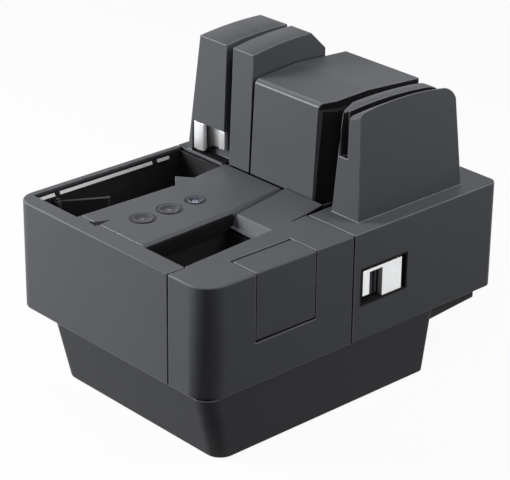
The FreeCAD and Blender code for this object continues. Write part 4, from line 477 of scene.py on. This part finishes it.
def green_board():
    """Green solder mask with a paler pattern of copper runs below it."""
    base = (0.012, 0.105, 0.045)
    finish = Finish("green_board", base, 0.32, {"Specular IOR Level": 0.5})
    across = finish.waves("X", 2.4 * MM)
    along = finish.waves("Y", 3.8 * MM)
    patch = finish.ramp(finish.noise(11 * MM, 1.0), (0.48, 0.0), (0.5, 1.0))
    runs = finish.ramp(across, (0.82, 0.0), (0.86, 1.0)) * patch
    crossings = finish.ramp(along, (0.86, 0.0), (0.9, 1.0)) * (1 - patch)
    finish.paint(runs + crossings, (0.03, 0.2, 0.085))
    finish.raise_by(runs + crossings, 0.02 * MM)
    finish.vary("Roughness", 0.28 + finish.noise(0.8 * MM) * 0.12)
    return finish.done()


def ink_plastic():
    """Smooth black plastic of the ink cartridge."""
    base = (0.02, 0.02, 0.024)
    finish = Finish("ink_plastic", base, 0.28)
    cloud = finish.noise(8 * MM, 2.0)
    finish.vary("Roughness", 0.2 + cloud * 0.16)
    finish.raise_by(finish.noise(0.6 * MM, 2.0), 0.01 * MM)
    return finish.done()


def belt_rubber():
    """Belt rubber with its weave showing as fine upright ribs."""
    base = (0.02, 0.02, 0.02)
    finish = Finish("belt_rubber", base, 0.62, {"Specular IOR Level": 0.35})
    ribs = finish.waves("Z", 0.9 * MM)
    fluff = finish.noise(0.4 * MM, 3.0)
    finish.paint(finish.ramp(fluff, (0.5, 0.0), (0.75, 0.6)), tone(base, 2.2))
    finish.vary("Roughness", 0.54 + fluff * 0.2)
    finish.raise_by(ribs, 0.05 * MM).raise_by(fluff, 0.03 * MM)
    return finish.done()


def socket_black():
    """Black plastic of the sockets at the back."""
    base = (0.014, 0.014, 0.014)
    finish = Finish("socket_black", base, 0.42)
    grain = finish.noise(0.4 * MM, 2.0)
    finish.vary("Roughness", 0.36 + grain * 0.14)
    finish.raise_by(grain, 0.015 * MM)
    return finish.done()


FINISHES = {
    "body_plastic": moulded_charcoal("moulded_charcoal", CHARCOAL),
    "tray_plastic": moulded_black(),
    "key_plastic": satin_key(),
    "power_key_plastic": power_key_blue(),
    "silver_plastic": silver_paint(),
    "white_plastic": white_strip(),
    "rubber": soft_rubber(),
    "roller_rubber": ground_rubber(),
    "steel": turned_steel(),
    "zinc_plate": zinc_sheet(),
    "frame_plastic": frame_black(),
    "sensor_black": sensor_black(),
    "glass": clear_glass(),
    "board_green": green_board(),
    "ink_plastic": ink_plastic(),
    "belt_rubber": belt_rubber(),
    "socket_black": socket_black(),
}
BLACK_AND_SHADE = black_and_painted_shade()
EDGE_HIGHLIGHT_AND_SHADE = edge_highlight_and_shade("edge_highlight_and_shade", CHARCOAL)
CASE_EDGE_HIGHLIGHT_AND_SHADE = edge_highlight_and_shade("case_edge_highlight_and_shade", CASE_CHARCOAL)


def placed(name, data):
    """A new object in the scene."""
    thing = bpy.data.objects.new(name, data)
    bpy.context.scene.collection.objects.link(thing)
    return thing


def break_edges(thing, width, segments, edge_slot=-1):
    """A small bevel on the sharp edges, in a material slot of its own where one is given."""
    bevel = thing.modifiers.new("broken_edges", "BEVEL")
    bevel.width = width
    bevel.segments = segments
    bevel.limit_method = "ANGLE"
    bevel.angle_limit = SHARP_ANGLE
    bevel.harden_normals = True
    bevel.material = edge_slot
    return bevel


def soften(thing, width, edge_slot=-1):
    """Joins the facets of a node into clean faces and breaks its sharp edges."""
    weld = thing.modifiers.new("join_facets", "WELD")
    weld.merge_threshold = 0.01 * MM
    flat = thing.modifiers.new("flat_faces", "DECIMATE")
    flat.decimate_type = "DISSOLVE"
    flat.angle_limit = FLAT_ANGLE
    break_edges(thing, width, 2, edge_slot).use_clamp_overlap = False


HOUSING = (
    "front_cover",
    "corner_cover",
    "control_plate",
    "exit_cover",
    "inner_track_cover",
    "center_cover",
    "rear_cover",
    "left_cover",
    "right_cover",
    "imprinter_door",
    "lower_case",
)
SMALL_EDGES = ("start_key", "stop_key", "power_key", "pusher_arm")


def dress_nodes():
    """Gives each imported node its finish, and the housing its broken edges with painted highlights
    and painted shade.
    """
    slot_of = {part["node"]: part["material_slot"] for part in frame["record"]["subparts"]}
    for name, thing in nodes.items():
        material = FINISHES[slot_of[name]]
        if not thing.material_slots:
            thing.data.materials.append(material)
        for slot in thing.material_slots:
            slot.material = material
    lower_case = nodes["lower_case"]
    lower_case.material_slots[0].material = moulded_charcoal("lower_case_charcoal", CASE_CHARCOAL)
    for name in HOUSING:
        nodes[name].data.materials.append(CASE_EDGE_HIGHLIGHT_AND_SHADE if name == "lower_case" else EDGE_HIGHLIGHT_AND_SHADE)
        soften(nodes[name], EDGE_SOFTNESS, edge_slot=1)
    for name in SMALL_EDGES:
        soften(nodes[name], FINE_EDGE_SOFTNESS)


def add_camera():
    """A long lens from the front right, above, level but for a slight roll."""
    data = bpy.data.cameras.new("view")
    data.sensor_width = SENSOR_WIDTH
    data.lens = LENS
    data.clip_start = 0.05
    data.clip_end = 50.0
    camera = placed("view", data)
    level = math.cos(CAMERA_DROP)
    ahead = Vector(
        (-math.sin(CAMERA_TURN) * level, math.cos(CAMERA_TURN) * level, -math.sin(CAMERA_DROP))
    )
    side = ahead.cross(Vector((0, 0, 1))).normalized()
    top = side.cross(ahead)
    side, top = (
        side * math.cos(CAMERA_ROLL) + top * math.sin(CAMERA_ROLL),
        top * math.cos(CAMERA_ROLL) - side * math.sin(CAMERA_ROLL),
    )
    turned = Matrix((side, top, -ahead)).transposed().to_4x4()
    turned.translation = Vector(CAMERA_PLACE)
    camera.matrix_world = turned
    bpy.context.scene.camera = camera


def add_lamp(name, place, size, watts):
    """A soft round lamp that faces the body."""
    data = bpy.data.lights.new(name, "AREA")
    data.shape = "DISK"
    data.size = size
    data.energy = watts
    lamp = placed(name, data)
    lamp.location = place
    lamp.rotation_mode = "QUATERNION"
    lamp.rotation_quaternion = (LAMP_TARGET - Vector(place)).to_track_quat("-Z", "Y")


def seen_directly(finish):
    """1 for rays from the camera, from gloss or through glass, 0 for light that surfaces share."""
    path = finish.node("ShaderNodeLightPath")
    camera, gloss, glass = (
        Value(finish, path.outputs[f"Is {kind} Ray"])
        for kind in ("Camera", "Glossy", "Transmission")
    )
    return camera.math("MINIMUM", camera + gloss + glass, 1.0)


def pale_floor():
    """White to the eye, with a soft shadow, while it throws little light back up."""
    finish = Finish("pale_floor", (0.07, 0.07, 0.07), 0.9, {"Specular IOR Level": 0.0})
    lit = finish.node("ShaderNodeBsdfDiffuse", None, {"Color": (0.9, 0.9, 0.9, 1.0)})
    glow = finish.node("ShaderNodeEmission", None, {"Color": WHITE, "Strength": 1.0})
    white = finish.node("ShaderNodeMixShader", None, {0: FLOOR_GLOW})
    either = finish.node("ShaderNodeMixShader", None, {0: seen_directly(finish)})
    finish.tree.links.new(lit.outputs[0], white.inputs[1])
    finish.tree.links.new(glow.outputs[0], white.inputs[2])
    finish.tree.links.new(finish.shader.outputs[0], either.inputs[1])
    finish.tree.links.new(white.outputs[0], either.inputs[2])
    output = finish.tree.nodes["Material Output"]
    finish.tree.links.new(either.outputs[0], output.inputs["Surface"])
    return finish.material


class Surround(Finish):
    """The world's own nodes, white to the eye and dimmer as a light."""

    def __init__(self, name):
        self.world = bpy.data.worlds.new(name)
        self.world.use_nodes = True
        self.tree = self.world.node_tree
        light = self.tree.nodes["Background"]
        light.inputs["Color"].default_value = WHITE
        light.inputs["Strength"].default_value = SKY_LIGHT
        sky = self.node("ShaderNodeBackground", None, {"Color": WHITE, "Strength": 1.0})
        either = self.node("ShaderNodeMixShader", None, {0: seen_directly(self)})
        self.tree.links.new(light.outputs[0], either.inputs[1])
        self.tree.links.new(sky.outputs[0], either.inputs[2])
        self.tree.links.new(either.outputs[0], self.tree.nodes["World Output"].inputs["Surface"])


def add_studio():
    """Pale floor, a white surround and soft lamps, the main one from the front left."""
    reach = FLOOR_REACH
    corners = [(-reach, -reach, 0), (reach, -reach, 0), (reach, reach, 0), (-reach, reach, 0)]
    mesh = bpy.data.meshes.new("floor")
    mesh.from_pydata(corners, [], [(0, 1, 2, 3)])
    placed("floor", mesh)
    mesh.materials.append(pale_floor())
    bpy.context.scene.world = Surround("surround").world
    for name, (place, size, watts) in LAMPS.items():
        add_lamp(name, place, size, watts)


class Form:
    """A mesh built up in millimetres from rings and outlines, then set on what carries it."""

    def __init__(self, turn=None, centre=(0.0, 0.0, 0.0)):
        self.mesh = bmesh.new()
        self.turn = turn or Matrix.Identity(3)
        self.centre = Vector(centre)

    def point(self, place):
        return self.mesh.verts.new(self.turn @ Vector(place) + self.centre)

    def skin(self, rings, start=True, end=True):
        """Faces between a row of equal rings of points, closed at the ends that are named."""
        rows = [[self.point(place) for place in ring] for ring in rings]
        for row, after in zip(rows, rows[1:]):
            for here in range(len(row)):
                there = (here + 1) % len(row)
                self.mesh.faces.new((row[here], row[there], after[there], after[here]))
        if start:
            self.mesh.faces.new(rows[0][::-1])
        if end:
            self.mesh.faces.new(rows[-1])
        return self

    def turned(self, profile, steps=ROUND_STEPS):
        """A profile of radii and heights about the form's own axis, closed by a flat at its ends."""
        turns = [2 * math.pi * step / steps for step in range(steps)]
        return self.skin(
            [
                [(radius * math.cos(turn), radius * math.sin(turn), height) for turn in turns]
                for radius, height in profile
            ]
        )

    def slab(self, outline, low, high, edge=0.0):
        """An outline between two heights, with an edge that narrows the top."""
        middle = sum((Vector(corner) for corner in outline), Vector((0, 0))) / len(outline)
        rings = [[(x, y, low) for x, y in outline], [(x, y, high - edge) for x, y in outline]]
        if edge:
            inner = []
            for corner in outline:
                toward = middle - Vector(corner)
                moved = Vector(corner) + toward.normalized() * edge
                inner.append((moved.x, moved.y, high))
            rings.append(inner)
        return self.skin(rings)

    def box(self, low, high, edge=0.0):
        """A block between two corners."""
        outline = [(low[0], low[1]), (high[0], low[1]), (high[0], high[1]), (low[0], high[1])]
        return self.slab(outline, low[2], high[2], edge)

    def wire(self, path, radius, sides=10):
        """A round wire along points."""
        points = [Vector(place) for place in path]
        turns = [2 * math.pi * step / sides for step in range(sides)]
        rings = []
        side = None
        for number, place in enumerate(points):
            ahead = points[min(number + 1, len(points) - 1)] - points[max(number - 1, 0)]
            ahead.normalize()
            if side is None:
                side = ahead.orthogonal().normalized()
            side = (side - ahead * side.dot(ahead)).normalized()
            top = ahead.cross(side)
            rings.append(
                [place + (side * math.cos(turn) + top * math.sin(turn)) * radius for turn in turns]
            )
        return self.skin(rings)

    def data(self, name):
        """The form as mesh data in the frame. The form is used up."""
        bmesh.ops.recalc_face_normals(self.mesh, faces=self.mesh.faces)
        data = bpy.data.meshes.new(name)
        self.mesh.to_mesh(data)
        self.mesh.free()
        data.transform(TO_FRAME)
        return data

    def made(
        self, name, body, slot, softness=0.0, material=None, stands_for=(), edge_material=None
    ):
        """The finished piece, riding on its body."""
        data = self.data(name)
        data.shade_smooth()
        data.set_sharp_from_angle(angle=SHARP_ANGLE)
        thing = placed(name, data)
        if softness:
            break_edges(thing, softness, 3, 1 if edge_material else -1)
        data.materials.append(material or FINISHES[slot])
        if edge_material:
            data.materials.append(edge_material)
        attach(thing, body)
        if stands_for:
            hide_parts(*stands_for)


def blend_between(stops, place):
    """The value at a place on a line of stops, eased between each two."""
    for (start, low), (end, high) in zip(stops, stops[1:]):
        if place <= end:
            share = (place - start) / (end - start)
            return low + (high - low) * share * share * (3 - 2 * share)
    return stops[-1][1]


def bulge(place, middle, reach):
    """1 in the middle of a rounded stretch, falling to 0 at its ends."""
    return math.sqrt(max(0.0, 1 - ((place - middle) / reach) ** 2))


def left_lever():
    """Silver lever: a rounded column, a scoop and a wing whose underside climbs to the right."""
    left, right, back, high = 17.6, 55.3, 177.7, 175.7
    underside = [(left, 151.2), (30.2, 151.5), (32.6, 154.6), (37.5, 157.6), (right, 159.8)]
    columns, rows = 56, 6
    rings = []
    for column in range(columns + 1):
        x = left + (right - left) * column / columns
        face = 173.2 - 1.5 * bulge(x, 24.4, 7.4)
        scoop = bulge(x, 39.4, 8.8)
        low = blend_between(underside, x)
        front = []
        for row in range(rows + 1):
            share = row / rows
            depth = scoop * (2.4 + 1.1 * (1 - share))
            front.append((x, face + depth, low + (high - low) * share))
        rings.append([*front, (x, back, high), (x, back, low)])
    form = Form().skin(rings)
    # The scoop carries a painted dark reflection.
    paint = silver_paint("lever_silver", dark_reflection=(31.2, 47.5))
    form.made(
        "left_lever_shell",
        "left_lever",
        "silver_plastic",
        0.35 * MM,
        material=paint,
        stands_for=("left_lever",),
    )


def right_latch():
    """Silver latch: a narrow strip and a broad plate, with a ribbed hollow between, painted dark as
    shade.
    """
    form = Form(FACING_RIGHT)
    plate = [
        (163.2, 93.4),
        (170.6, 93.4),
        (170.6, 112.4),
        (184.8, 112.4),
        (184.8, 87.6),
        (206.3, 87.6),
        (206.3, 115.0),
        (163.2, 115.0),
    ]
    form.skin([[(y, z, 223.9) for y, z in plate], [(y, z, 229.4) for y, z in plate]])
    form.made(
        "right_latch_shell",
        "right_latch",
        "silver_plastic",
        0.3 * MM,
        stands_for=("right_latch",),
    )
    hollow = Form().box((221.6, 170.0, 88.3), (223.0, 185.4, 113.0))
    # Charcoal ribs, painted shade of the silver ribs in the hollow.
    for number in range(3):
        rib = Form(None, (223.2, 173.4 + 4.3 * number, 0.0))
        rib.turned([(0.6, 88.6), (1.4, 89.6), (1.4, 111.8), (0.6, 112.8)], 20)
        rib.made(f"latch_grip_rib_{number + 1}", "right_latch", "body_plastic")
    # The hollow's black is painted shade.
    hollow.made("latch_hollow", "right_latch", "tray_plastic", 0.2 * MM, material=BLACK_AND_SHADE)


def latch_bay():
    """Black tray that lines the opening round the latch, with a narrow rim on the cover's face, its
    black a painted shade.
    """
    form = Form(FACING_RIGHT)
    outer = [(159.9, 85.9), (212.1, 85.9), (212.1, 118.1), (159.9, 118.1)]
    inner = [(161.4, 87.25), (210.6, 87.25), (210.6, 116.75), (161.4, 116.75)]
    rings = []
    for outline, x in ((outer, 229.7), (outer, 230.15), (inner, 230.15), (inner, 221.0)):
        rings.append([(y, z, x) for y, z in outline])
    form.skin(rings, start=False)
    form.made("latch_bay", "right_cover", "frame_plastic", material=BLACK_AND_SHADE)


def lever_bay():
    """Black floor of the bay behind the lever, a painted shade."""
    form = Form().box((17.3, 171.5, DECK - 0.1), (57.0, 180.9, DECK + 0.25), 0.1)
    form.made("lever_bay_floor", "left_cover", "frame_plastic", material=BLACK_AND_SHADE)


def exit_ramp():
    """Exit cover: a steep lit front, then a ramp that climbs to the foot of the middle cover."""
    form = Form()
    rings = []
    for y, left, right, top in (
        (107.0, 136.2, 178.4, 138.0),
        (109.6, 135.95, 178.3, 138.0),
        (114.0, 135.5, 178.12, 145.6),
        (115.4, 135.4, 178.08, 146.5),
        (137.0, 133.2, 177.2, 147.6),
        (137.1, 133.2, 174.9, 147.6),
        (160.0, 130.9, 173.7, 148.9),
        (172.6, 129.7, 172.8, 150.4),
    ):
        rings.append([(left, y, top - 1.6), (right, y, top - 1.6), (right, y, top), (left, y, top)])
    form.skin(rings)
    form.made(
        "exit_ramp",
        "root",
        "body_plastic",
        0.5 * MM,
        stands_for=("exit_cover",),
        edge_material=EDGE_HIGHLIGHT_AND_SHADE,
    )


def pocket_lining():
    """Black lining on the pocket side of the control plate, below its rounded edge, a painted shade.
    """
    form = Form()
    rings = []
    for y, x in ((18.3, 139.4), (111.9, 134.95)):
        ring = [(x - 0.2, y, 134.6), (x + 0.35, y, 134.6)]
        for radius, turns in ((4.85, (0, 12, 24, 36)), (4.4, (36, 24, 12, 0))):
            for turn in turns:
                reach = radius * math.cos(math.radians(turn))
                ring.append((x - 4.5 + reach, y, 144.5 + radius * math.sin(math.radians(turn))))
        rings.append(ring)
    form.skin(rings)
    form.made("pocket_lining", "root", "tray_plastic", material=BLACK_AND_SHADE)


def node_copy(name, move=None):
    """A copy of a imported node's mesh, with its points moved in the millimetres that a Form uses."""
    data = nodes[name].data.copy()
    if move:
        mesh = bmesh.new()
        mesh.from_mesh(data)
        for vert in mesh.verts:
            x, y, z = vert.co / MM
            moved = move(x - LEFT_FACE, y - FRONT_FACE, z)
            vert.co = (Vector(moved) + Vector((LEFT_FACE, FRONT_FACE, 0))) * MM
        mesh.to_mesh(data)
        mesh.free()
    return placed(name + "_shell", data)


def cut_away(thing, cutter):
    """Cuts a closed form out of a mesh."""
    tool = placed("cutter", cutter.data("cutter"))
    cut = thing.modifiers.new("cut", "BOOLEAN")
    cut.operation = "DIFFERENCE"
    cut.solver = "EXACT"
    cut.object = tool
    bpy.context.view_layer.update()
    shown = thing.evaluated_get(bpy.context.evaluated_depsgraph_get())
    solid = bpy.data.meshes.new_from_object(shown)
    thing.modifiers.clear()
    thing.data = solid
    bpy.data.objects.remove(tool)


def dressed(thing, body, materials, stands_for=()):
    """Gives a copied mesh its finishes and sets it on its body."""
    thing.data.materials.clear()
    for material in materials:
        thing.data.materials.append(material)
    for face in thing.data.polygons:
        face.material_index = 0
    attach(thing, body)
    if stands_for:
        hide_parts(*stands_for)


def beside_block_edge(far, shift=0.0):
    """An upright form from the middle cover's right edge across to a place beside it."""
    outline = [(x + shift, y) for x, y in (*BLOCK_EDGE, (far, 300), (far, 165))]
    return Form().skin([[(x, y, z) for x, y in outline] for z in (140, 250)])


def track_block():
    """Middle cover: a grey block that stops short of the track, and its side there painted black as
    shade.
    """
    block = node_copy("center_cover")
    cut_away(block, beside_block_edge(190))
    finishes = (FINISHES["body_plastic"], EDGE_HIGHLIGHT_AND_SHADE, BLACK_AND_SHADE)
    dressed(block, "root", finishes, stands_for=("center_cover",))
    # The block's right faces beside the track take the black, a painted shade.
    for face in block.data.polygons:
        if face.center.x / MM - LEFT_FACE > 159.9 and face.normal.x > 0.5:
            face.material_index = 2
    soften(block, EDGE_SOFTNESS, edge_slot=1)
    # A black flank beside the track, a painted shade.
    flank = node_copy("center_cover")
    flank.name = "track_flank"
    cut_away(flank, beside_block_edge(70, 0.05))
    cut_away(flank, Form().box((70, 160, 225.6), (190, 300, 250)))
    dressed(flank, "root", (BLACK_AND_SHADE,))


def right_shell():
    """Right opening cover: the tower's inner face leans outward, and its slot is painted black as
    shade.
    """
    lean_start, fin_width, slope = 190.4, 12.6, 5.6 / 90
    crown_foot, crown_height = 224, 16

    def lean(x, y, z):
        if z <= DECK + 0.5:
            return x, y, z
        share = max(0.0, min(1.0, (lean_start - x) / fin_width))
        drop = 4.8 if x < 196 else 6.6 * max(0.0, min(1.0, (206.5 - x) / 7.6))
        crown = max(0.0, (z - crown_foot) / crown_height)
        return x + slope * share * (z - DECK), y, z - drop * crown

    shell = node_copy("right_cover", lean)
    finishes = (FINISHES["body_plastic"], EDGE_HIGHLIGHT_AND_SHADE, BLACK_AND_SHADE)
    dressed(shell, "right_cover", finishes, stands_for=("right_cover",))
    # The slot's walls and floor take the black, a painted shade.
    for face in shell.data.polygons:
        x, y, z = face.center / MM
        x, y = x - LEFT_FACE, y - FRONT_FACE
        in_slot = 189.9 < x < 199.4 and y > 172.4 and z > 197.2
        wall = abs(face.normal.x) > 0.4
        floor = face.normal.z > 0.9 and z < 198.5
        if in_slot and (wall or floor):
            face.material_index = 2
    soften(shell, EDGE_SOFTNESS, edge_slot=1)


def feet():
    """Moulded rubber feet with a rounded rim and a cupped underside."""
    profile = [
        (0.4, 1.3),
        (3.2, 1.2),
        (4.0, 0.35),
        (4.6, 0.02),
        (6.6, 0.0),
        (7.3, 0.18),
        (7.8, 0.7),
        (8.0, 1.4),
        (8.0, 2.5),
        (0.4, 2.5),
    ]
    for number, (x, y) in enumerate(((62, 36.6), (207, 36.6), (207, 216), (62, 216)), 1):
        form = Form(None, (x, y, 0)).turned(profile)
        stands_for = ("rubber_feet",) if number == 1 else ()
        form.made(f"foot_{number}", "root", "rubber", stands_for=stands_for)


def cross_screw(name, place, turn, radius):
    """A pan-head screw with a cross recess, its head raised along the form's axis."""
    form = Form(turn, place)
    steps = 32
    height = radius * 0.5
    arm = radius * 0.6
    half = radius * 0.14
    flat = 0.86
    cross = []
    for quarter in range(4):
        turned = Matrix.Rotation(quarter * math.pi / 2, 2)
        for corner in ((arm, -half), (arm, half), (half, half)):
            cross.append(tuple(turned @ Vector(corner)))
    turns = [2 * math.pi * step / steps for step in range(steps)]
    rim = [(radius * flat * math.cos(turn), radius * flat * math.sin(turn)) for turn in turns]
    outer = [form.point((x, y, height)) for x, y in rim]
    inner = [form.point((x, y, height)) for x, y in cross]
    edges = []
    for loop in (outer, inner):
        for here in range(len(loop)):
            edges.append(form.mesh.edges.new((loop[here], loop[(here + 1) % len(loop)])))
    bmesh.ops.triangle_fill(form.mesh, use_beauty=True, use_dissolve=False, edges=edges)
    deep = [form.point((x * 0.8, y * 0.8, height - radius * 0.42)) for x, y in cross]
    for here in range(len(cross)):
        there = (here + 1) % len(cross)
        form.mesh.faces.new((inner[here], inner[there], deep[there], deep[here]))
    form.mesh.faces.new(deep)
    rows = [outer]
    for share, level in ((0.97, 0.86), (1.0, 0.6), (1.0, 0.0)):
        wider = share / flat
        rows.append([form.point((x * wider, y * wider, height * level)) for x, y in rim])
    for row, after in zip(rows, rows[1:]):
        for here in range(steps):
            there = (here + 1) % steps
            form.mesh.faces.new((row[here], row[there], after[there], after[here]))
    form.mesh.faces.new(rows[-1])
    form.made(name, "root", "steel")


def screws():
    """Screws of the underside and of the rear cover."""
    for number, (x, y) in enumerate(((62, 62), (207, 62), (207, 190), (62, 190)), 1):
        cross_screw(f"base_screw_{number}", (x, y, 2.5), FACING_DOWN, 3.2)
    for number, x in enumerate((66.0, 168.0), 1):
        cross_screw(f"rear_screw_{number}", (x, 316.0, 120.0), FACING_BACK, 2.8)


def print_and_painted_light(name, colour, roughness, spread):
    """Colour a little uneven in its gloss: ink printed on a key, and the painted light of the power
    key's crescent.
    """
    finish = Finish(name, colour, roughness)
    finish.vary("Roughness", roughness + finish.noise(0.4 * MM) * spread)
    return finish.done()


def around(turn, section):
    """A section of radii and heights, at one turn about the form's axis."""
    x, y = math.cos(turn), math.sin(turn)
    return [(radius * x, radius * y, height) for radius, height in section]


def key_signs():
    """Generic signs printed in the dishes of the start and stop keys: a triangle and a square."""
    grey = print_and_painted_light("key_print", tone(CHARCOAL, 1.35), 0.34, 0.14)
    triangle = [(-1.5, -1.9), (1.9, 0.0), (-1.5, 1.9)]
    square = [(-1.6, -1.6), (1.6, -1.6), (1.6, 1.6), (-1.6, 1.6)]
    for key, y, outline in (("start", START_Y, triangle), ("stop", STOP_Y, square)):
        sign = Form(None, (KEY_X, y, 0)).slab(outline, PRINT_LEVEL, PRINT_TOP)
        sign.made(f"{key}_sign", f"{key}_key", "key_plastic", material=grey)


def key_rings():
    """Dark rings, a painted shade, that frame the keys in the control plate."""
    steps = 64
    for number, (y, radius) in enumerate(((START_Y, 9.9), (STOP_Y, 9.9), (POWER_Y, 7.9)), 1):
        section = [
            (radius - 0.15, DECK - 0.3),
            (radius + 0.95, DECK - 0.3),
            (radius + 0.8, DECK + 0.08),
            (radius, DECK + 0.08),
        ]
        rings = [around(2 * math.pi * step / steps, section) for step in range(steps + 1)]
        ring = Form(None, (KEY_X, y, 0)).skin(rings, start=False, end=False)
        ring.made(f"key_ring_{number}", "root", "frame_plastic", material=BLACK_AND_SHADE)


def power_signs():
    """On the power key a pale crescent, painted light that stands for its lit lamp, and in its dish
    an open ring with a bar.
    """
    white = print_and_painted_light("power_print_and_painted_light", (0.62, 0.66, 0.8), 0.3, 0.12)
    steps, outer = 32, 5.9
    rings = []
    for step in range(steps + 1):
        turn = math.radians(-42.6 - 78 + 156 * step / steps)
        inner = outer - (0.2 + 1.7 * math.sin(math.pi * step / steps) ** 0.7)
        section = [(inner, 148.35), (outer, 148.9), (outer, 149.2), (inner, 148.75)]
        rings.append(around(turn, section))
    # The crescent's pale colour is painted light.
    crescent = Form(None, (KEY_X, POWER_Y, 0)).skin(rings)
    crescent.made("power_light", "power_key", "power_key_plastic", material=white)
    steps, gap = 40, 84
    section = [(1.5, PRINT_LEVEL), (2.1, PRINT_LEVEL), (2.1, PRINT_TOP), (1.5, PRINT_TOP)]
    rings = [
        around(math.radians(90 + gap / 2 + (360 - gap) * step / steps), section)
        for step in range(steps + 1)
    ]
    power = Form(None, (KEY_X, POWER_Y, 0)).skin(rings)
    power.slab([(-0.3, 0.5), (0.3, 0.5), (0.3, 2.3), (-0.3, 2.3)], PRINT_LEVEL, PRINT_TOP)
    power.made("power_sign", "power_key", "power_key_plastic", material=white)


def plate_notch():
    """Dark wedge-shaped lamp window in the front edge of the control plate."""
    outline = [
        (75.8, 14.6),
        (85.2, 13.6),
        (85.0, 21.0),
        (83.6, 29.4),
        (82.0, 24.6),
        (80.4, 20.6),
        (78.2, 17.2),
    ]
    window = Form().skin([[(x, y, z) for x, y in outline] for z in (DECK - 0.4, DECK + 0.12)])
    window.made("lamp_window", "root", "sensor_black", material=BLACK_AND_SHADE)


def hopper_scale():
    """White strips along the hopper's left wall, each with a face that slopes up to the light."""
    profile = [(5.5, 141.9), (6.9, 141.9), (7.15, 142.3), (5.9, 144.6), (5.5, 144.6)]
    for number, ends in enumerate(((18.0, 35.0), (40.0, 136.5), (142.0, 155.0)), 1):
        form = Form().skin([[(x, y, z) for x, z in profile] for y in ends])
        stands_for = ("hopper_strips",) if number == 1 else ()
        name = f"hopper_scale_{number}"
        form.made(name, "root", "white_plastic", 0.15 * MM, stands_for=stands_for)


def pusher_spring():
    """Upright torsion spring with two straight legs, which presses the pusher to the cheques."""
    (x, y), radius, low, high = (10.0, 35.0), 2.6, 98.6, 102.6
    turns, steps = 4.25, 85
    points = [(16.0, 33.5, low)]
    for step in range(steps + 1):
        turn = 2 * math.pi * turns * step / steps
        rise = low + (high - low) * step / steps
        points.append((x + radius * math.cos(turn), y + radius * math.sin(turn), rise))
    points.append((14.6, 43.4, high))
    Form().wire(points, 0.3).made("pusher_spring", "root", "steel")


def tray_ribs():
    """Low runners on the floors of the hopper and the pocket, which let the cheques slide."""
    for name, count, first, pitch, front, back in (
        ("hopper_runner", 6, 12.0, 8.4, 40.0, 160.0),
        ("pocket_runner", 4, 146.0, 9.0, 22.0, 102.0),
    ):
        for number in range(count):
            x = first + pitch * number
            low, high = (x - 0.7, front, TRAY_FLOOR), (x + 0.7, back, TRAY_FLOOR + 0.6)
            Form().box(low, high, 0.3).made(f"{name}_{number + 1}", "root", "tray_plastic")


def head_core():
    """Polished core of the magnetic head, standing just proud of its face."""
    core = Form().box((60.62, 180.6, 99.5), (61.2, 182.4, 113.5), 0.05)
    core.made("head_core", "root", "steel", 0.1 * MM)


def socket_contacts():
    """Contacts on the tongue of the data socket."""
    for number in range(4):
        x = 107.9 + 1.4 * number
        contact = Form().box((x - 0.35, 304.0, 62.6), (x + 0.35, 312.8, 62.95), 0.05)
        contact.made(f"data_contact_{number + 1}", "root", "steel")


def chips():
    """Chips on the main board, each with two rows of legs."""
    pitch, margin, out = 1.6, 1.2, 1.5
    for number, (x, y, width, length) in enumerate(
        (
            (96.0, 90.0, 20.0, 20.0),
            (140.0, 88.0, 14.0, 14.0),
            (168.0, 130.0, 12.0, 18.0),
            (90.0, 140.0, 10.0, 16.0),
        ),
        1,
    ):
        low = (x - width / 2, y - length / 2, BOARD_TOP + 0.2)
        high = (x + width / 2, y + length / 2, BOARD_TOP + 1.9)
        Form().box(low, high, 0.2).made(f"chip_{number}", "root", "sensor_black", 0.12 * MM)
        legs = Form()
        count = int(length / pitch)
        for leg in range(count):
            along = y - length / 2 + margin + (length - 2 * margin) * leg / (count - 1)
            for side in (-1, 1):
                near = x + side * (width / 2 - 0.1)
                far = x + side * (width / 2 + out)
                legs.box(
                    (min(near, far), along - 0.2, BOARD_TOP),
                    (max(near, far), along + 0.2, BOARD_TOP + 0.7),
                )
        legs.made(f"chip_{number}_legs", "root", "steel")


def capacitors():
    """Upright capacitors on the main board, with a groove above the foot."""
    for number, (x, y, radius, height) in enumerate(
        (
            (180.0, 70.0, 4.0, 11.0),
            (180.0, 82.0, 4.0, 11.0),
            (74.0, 180.0, 5.0, 14.0),
            (88.0, 182.0, 3.2, 8.0),
        ),
        1,
    ):
        profile = [
            (0.5, 0.0),
            (radius, 0.0),
            (radius, 0.9),
            (radius * 0.93, 1.3),
            (radius, 1.7),
            (radius, height - 0.5),
            (radius * 0.86, height),
            (0.5, height),
        ]
        can = Form(None, (x, y, BOARD_TOP)).turned(profile, 32)
        can.made(f"capacitor_{number}", "root", "ink_plastic")


def plug_headers():
    """White plug headers at the edges of the main board."""
    half, wall = 2.6, 0.7
    floor, top = BOARD_TOP + 1.4, BOARD_TOP + 5.6
    for number, (x, y, width) in enumerate(
        ((110.0, 48.0, 18.0), (150.0, 48.0, 12.0), (120.0, 204.0, 24.0)), 1
    ):
        left, right = x - width / 2, x + width / 2
        header = Form()
        header.box((left, y - half, BOARD_TOP), (right, y + half, floor))
        header.box((left, y - half, floor), (right, y - half + wall, top))
        header.box((left, y + half - wall, floor), (right, y + half, top))
        header.made(f"plug_header_{number}", "root", "white_plastic", 0.15 * MM)


def add_pieces():
    """The pieces that are made here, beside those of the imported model."""
    left_lever()
    lever_bay()
    right_latch()
    latch_bay()
    exit_ramp()
    pocket_lining()
    track_block()
    right_shell()
    hopper_scale()
    feet()
    screws()
    key_signs()
    key_rings()
    power_signs()
    plate_notch()
    pusher_spring()
    tray_ribs()
    head_core()
    socket_contacts()
    chips()
    capacitors()
    plug_headers()


dress_nodes()
add_pieces()
add_camera()
add_studio()
bpy.context.scene.view_settings.view_transform = "Standard"
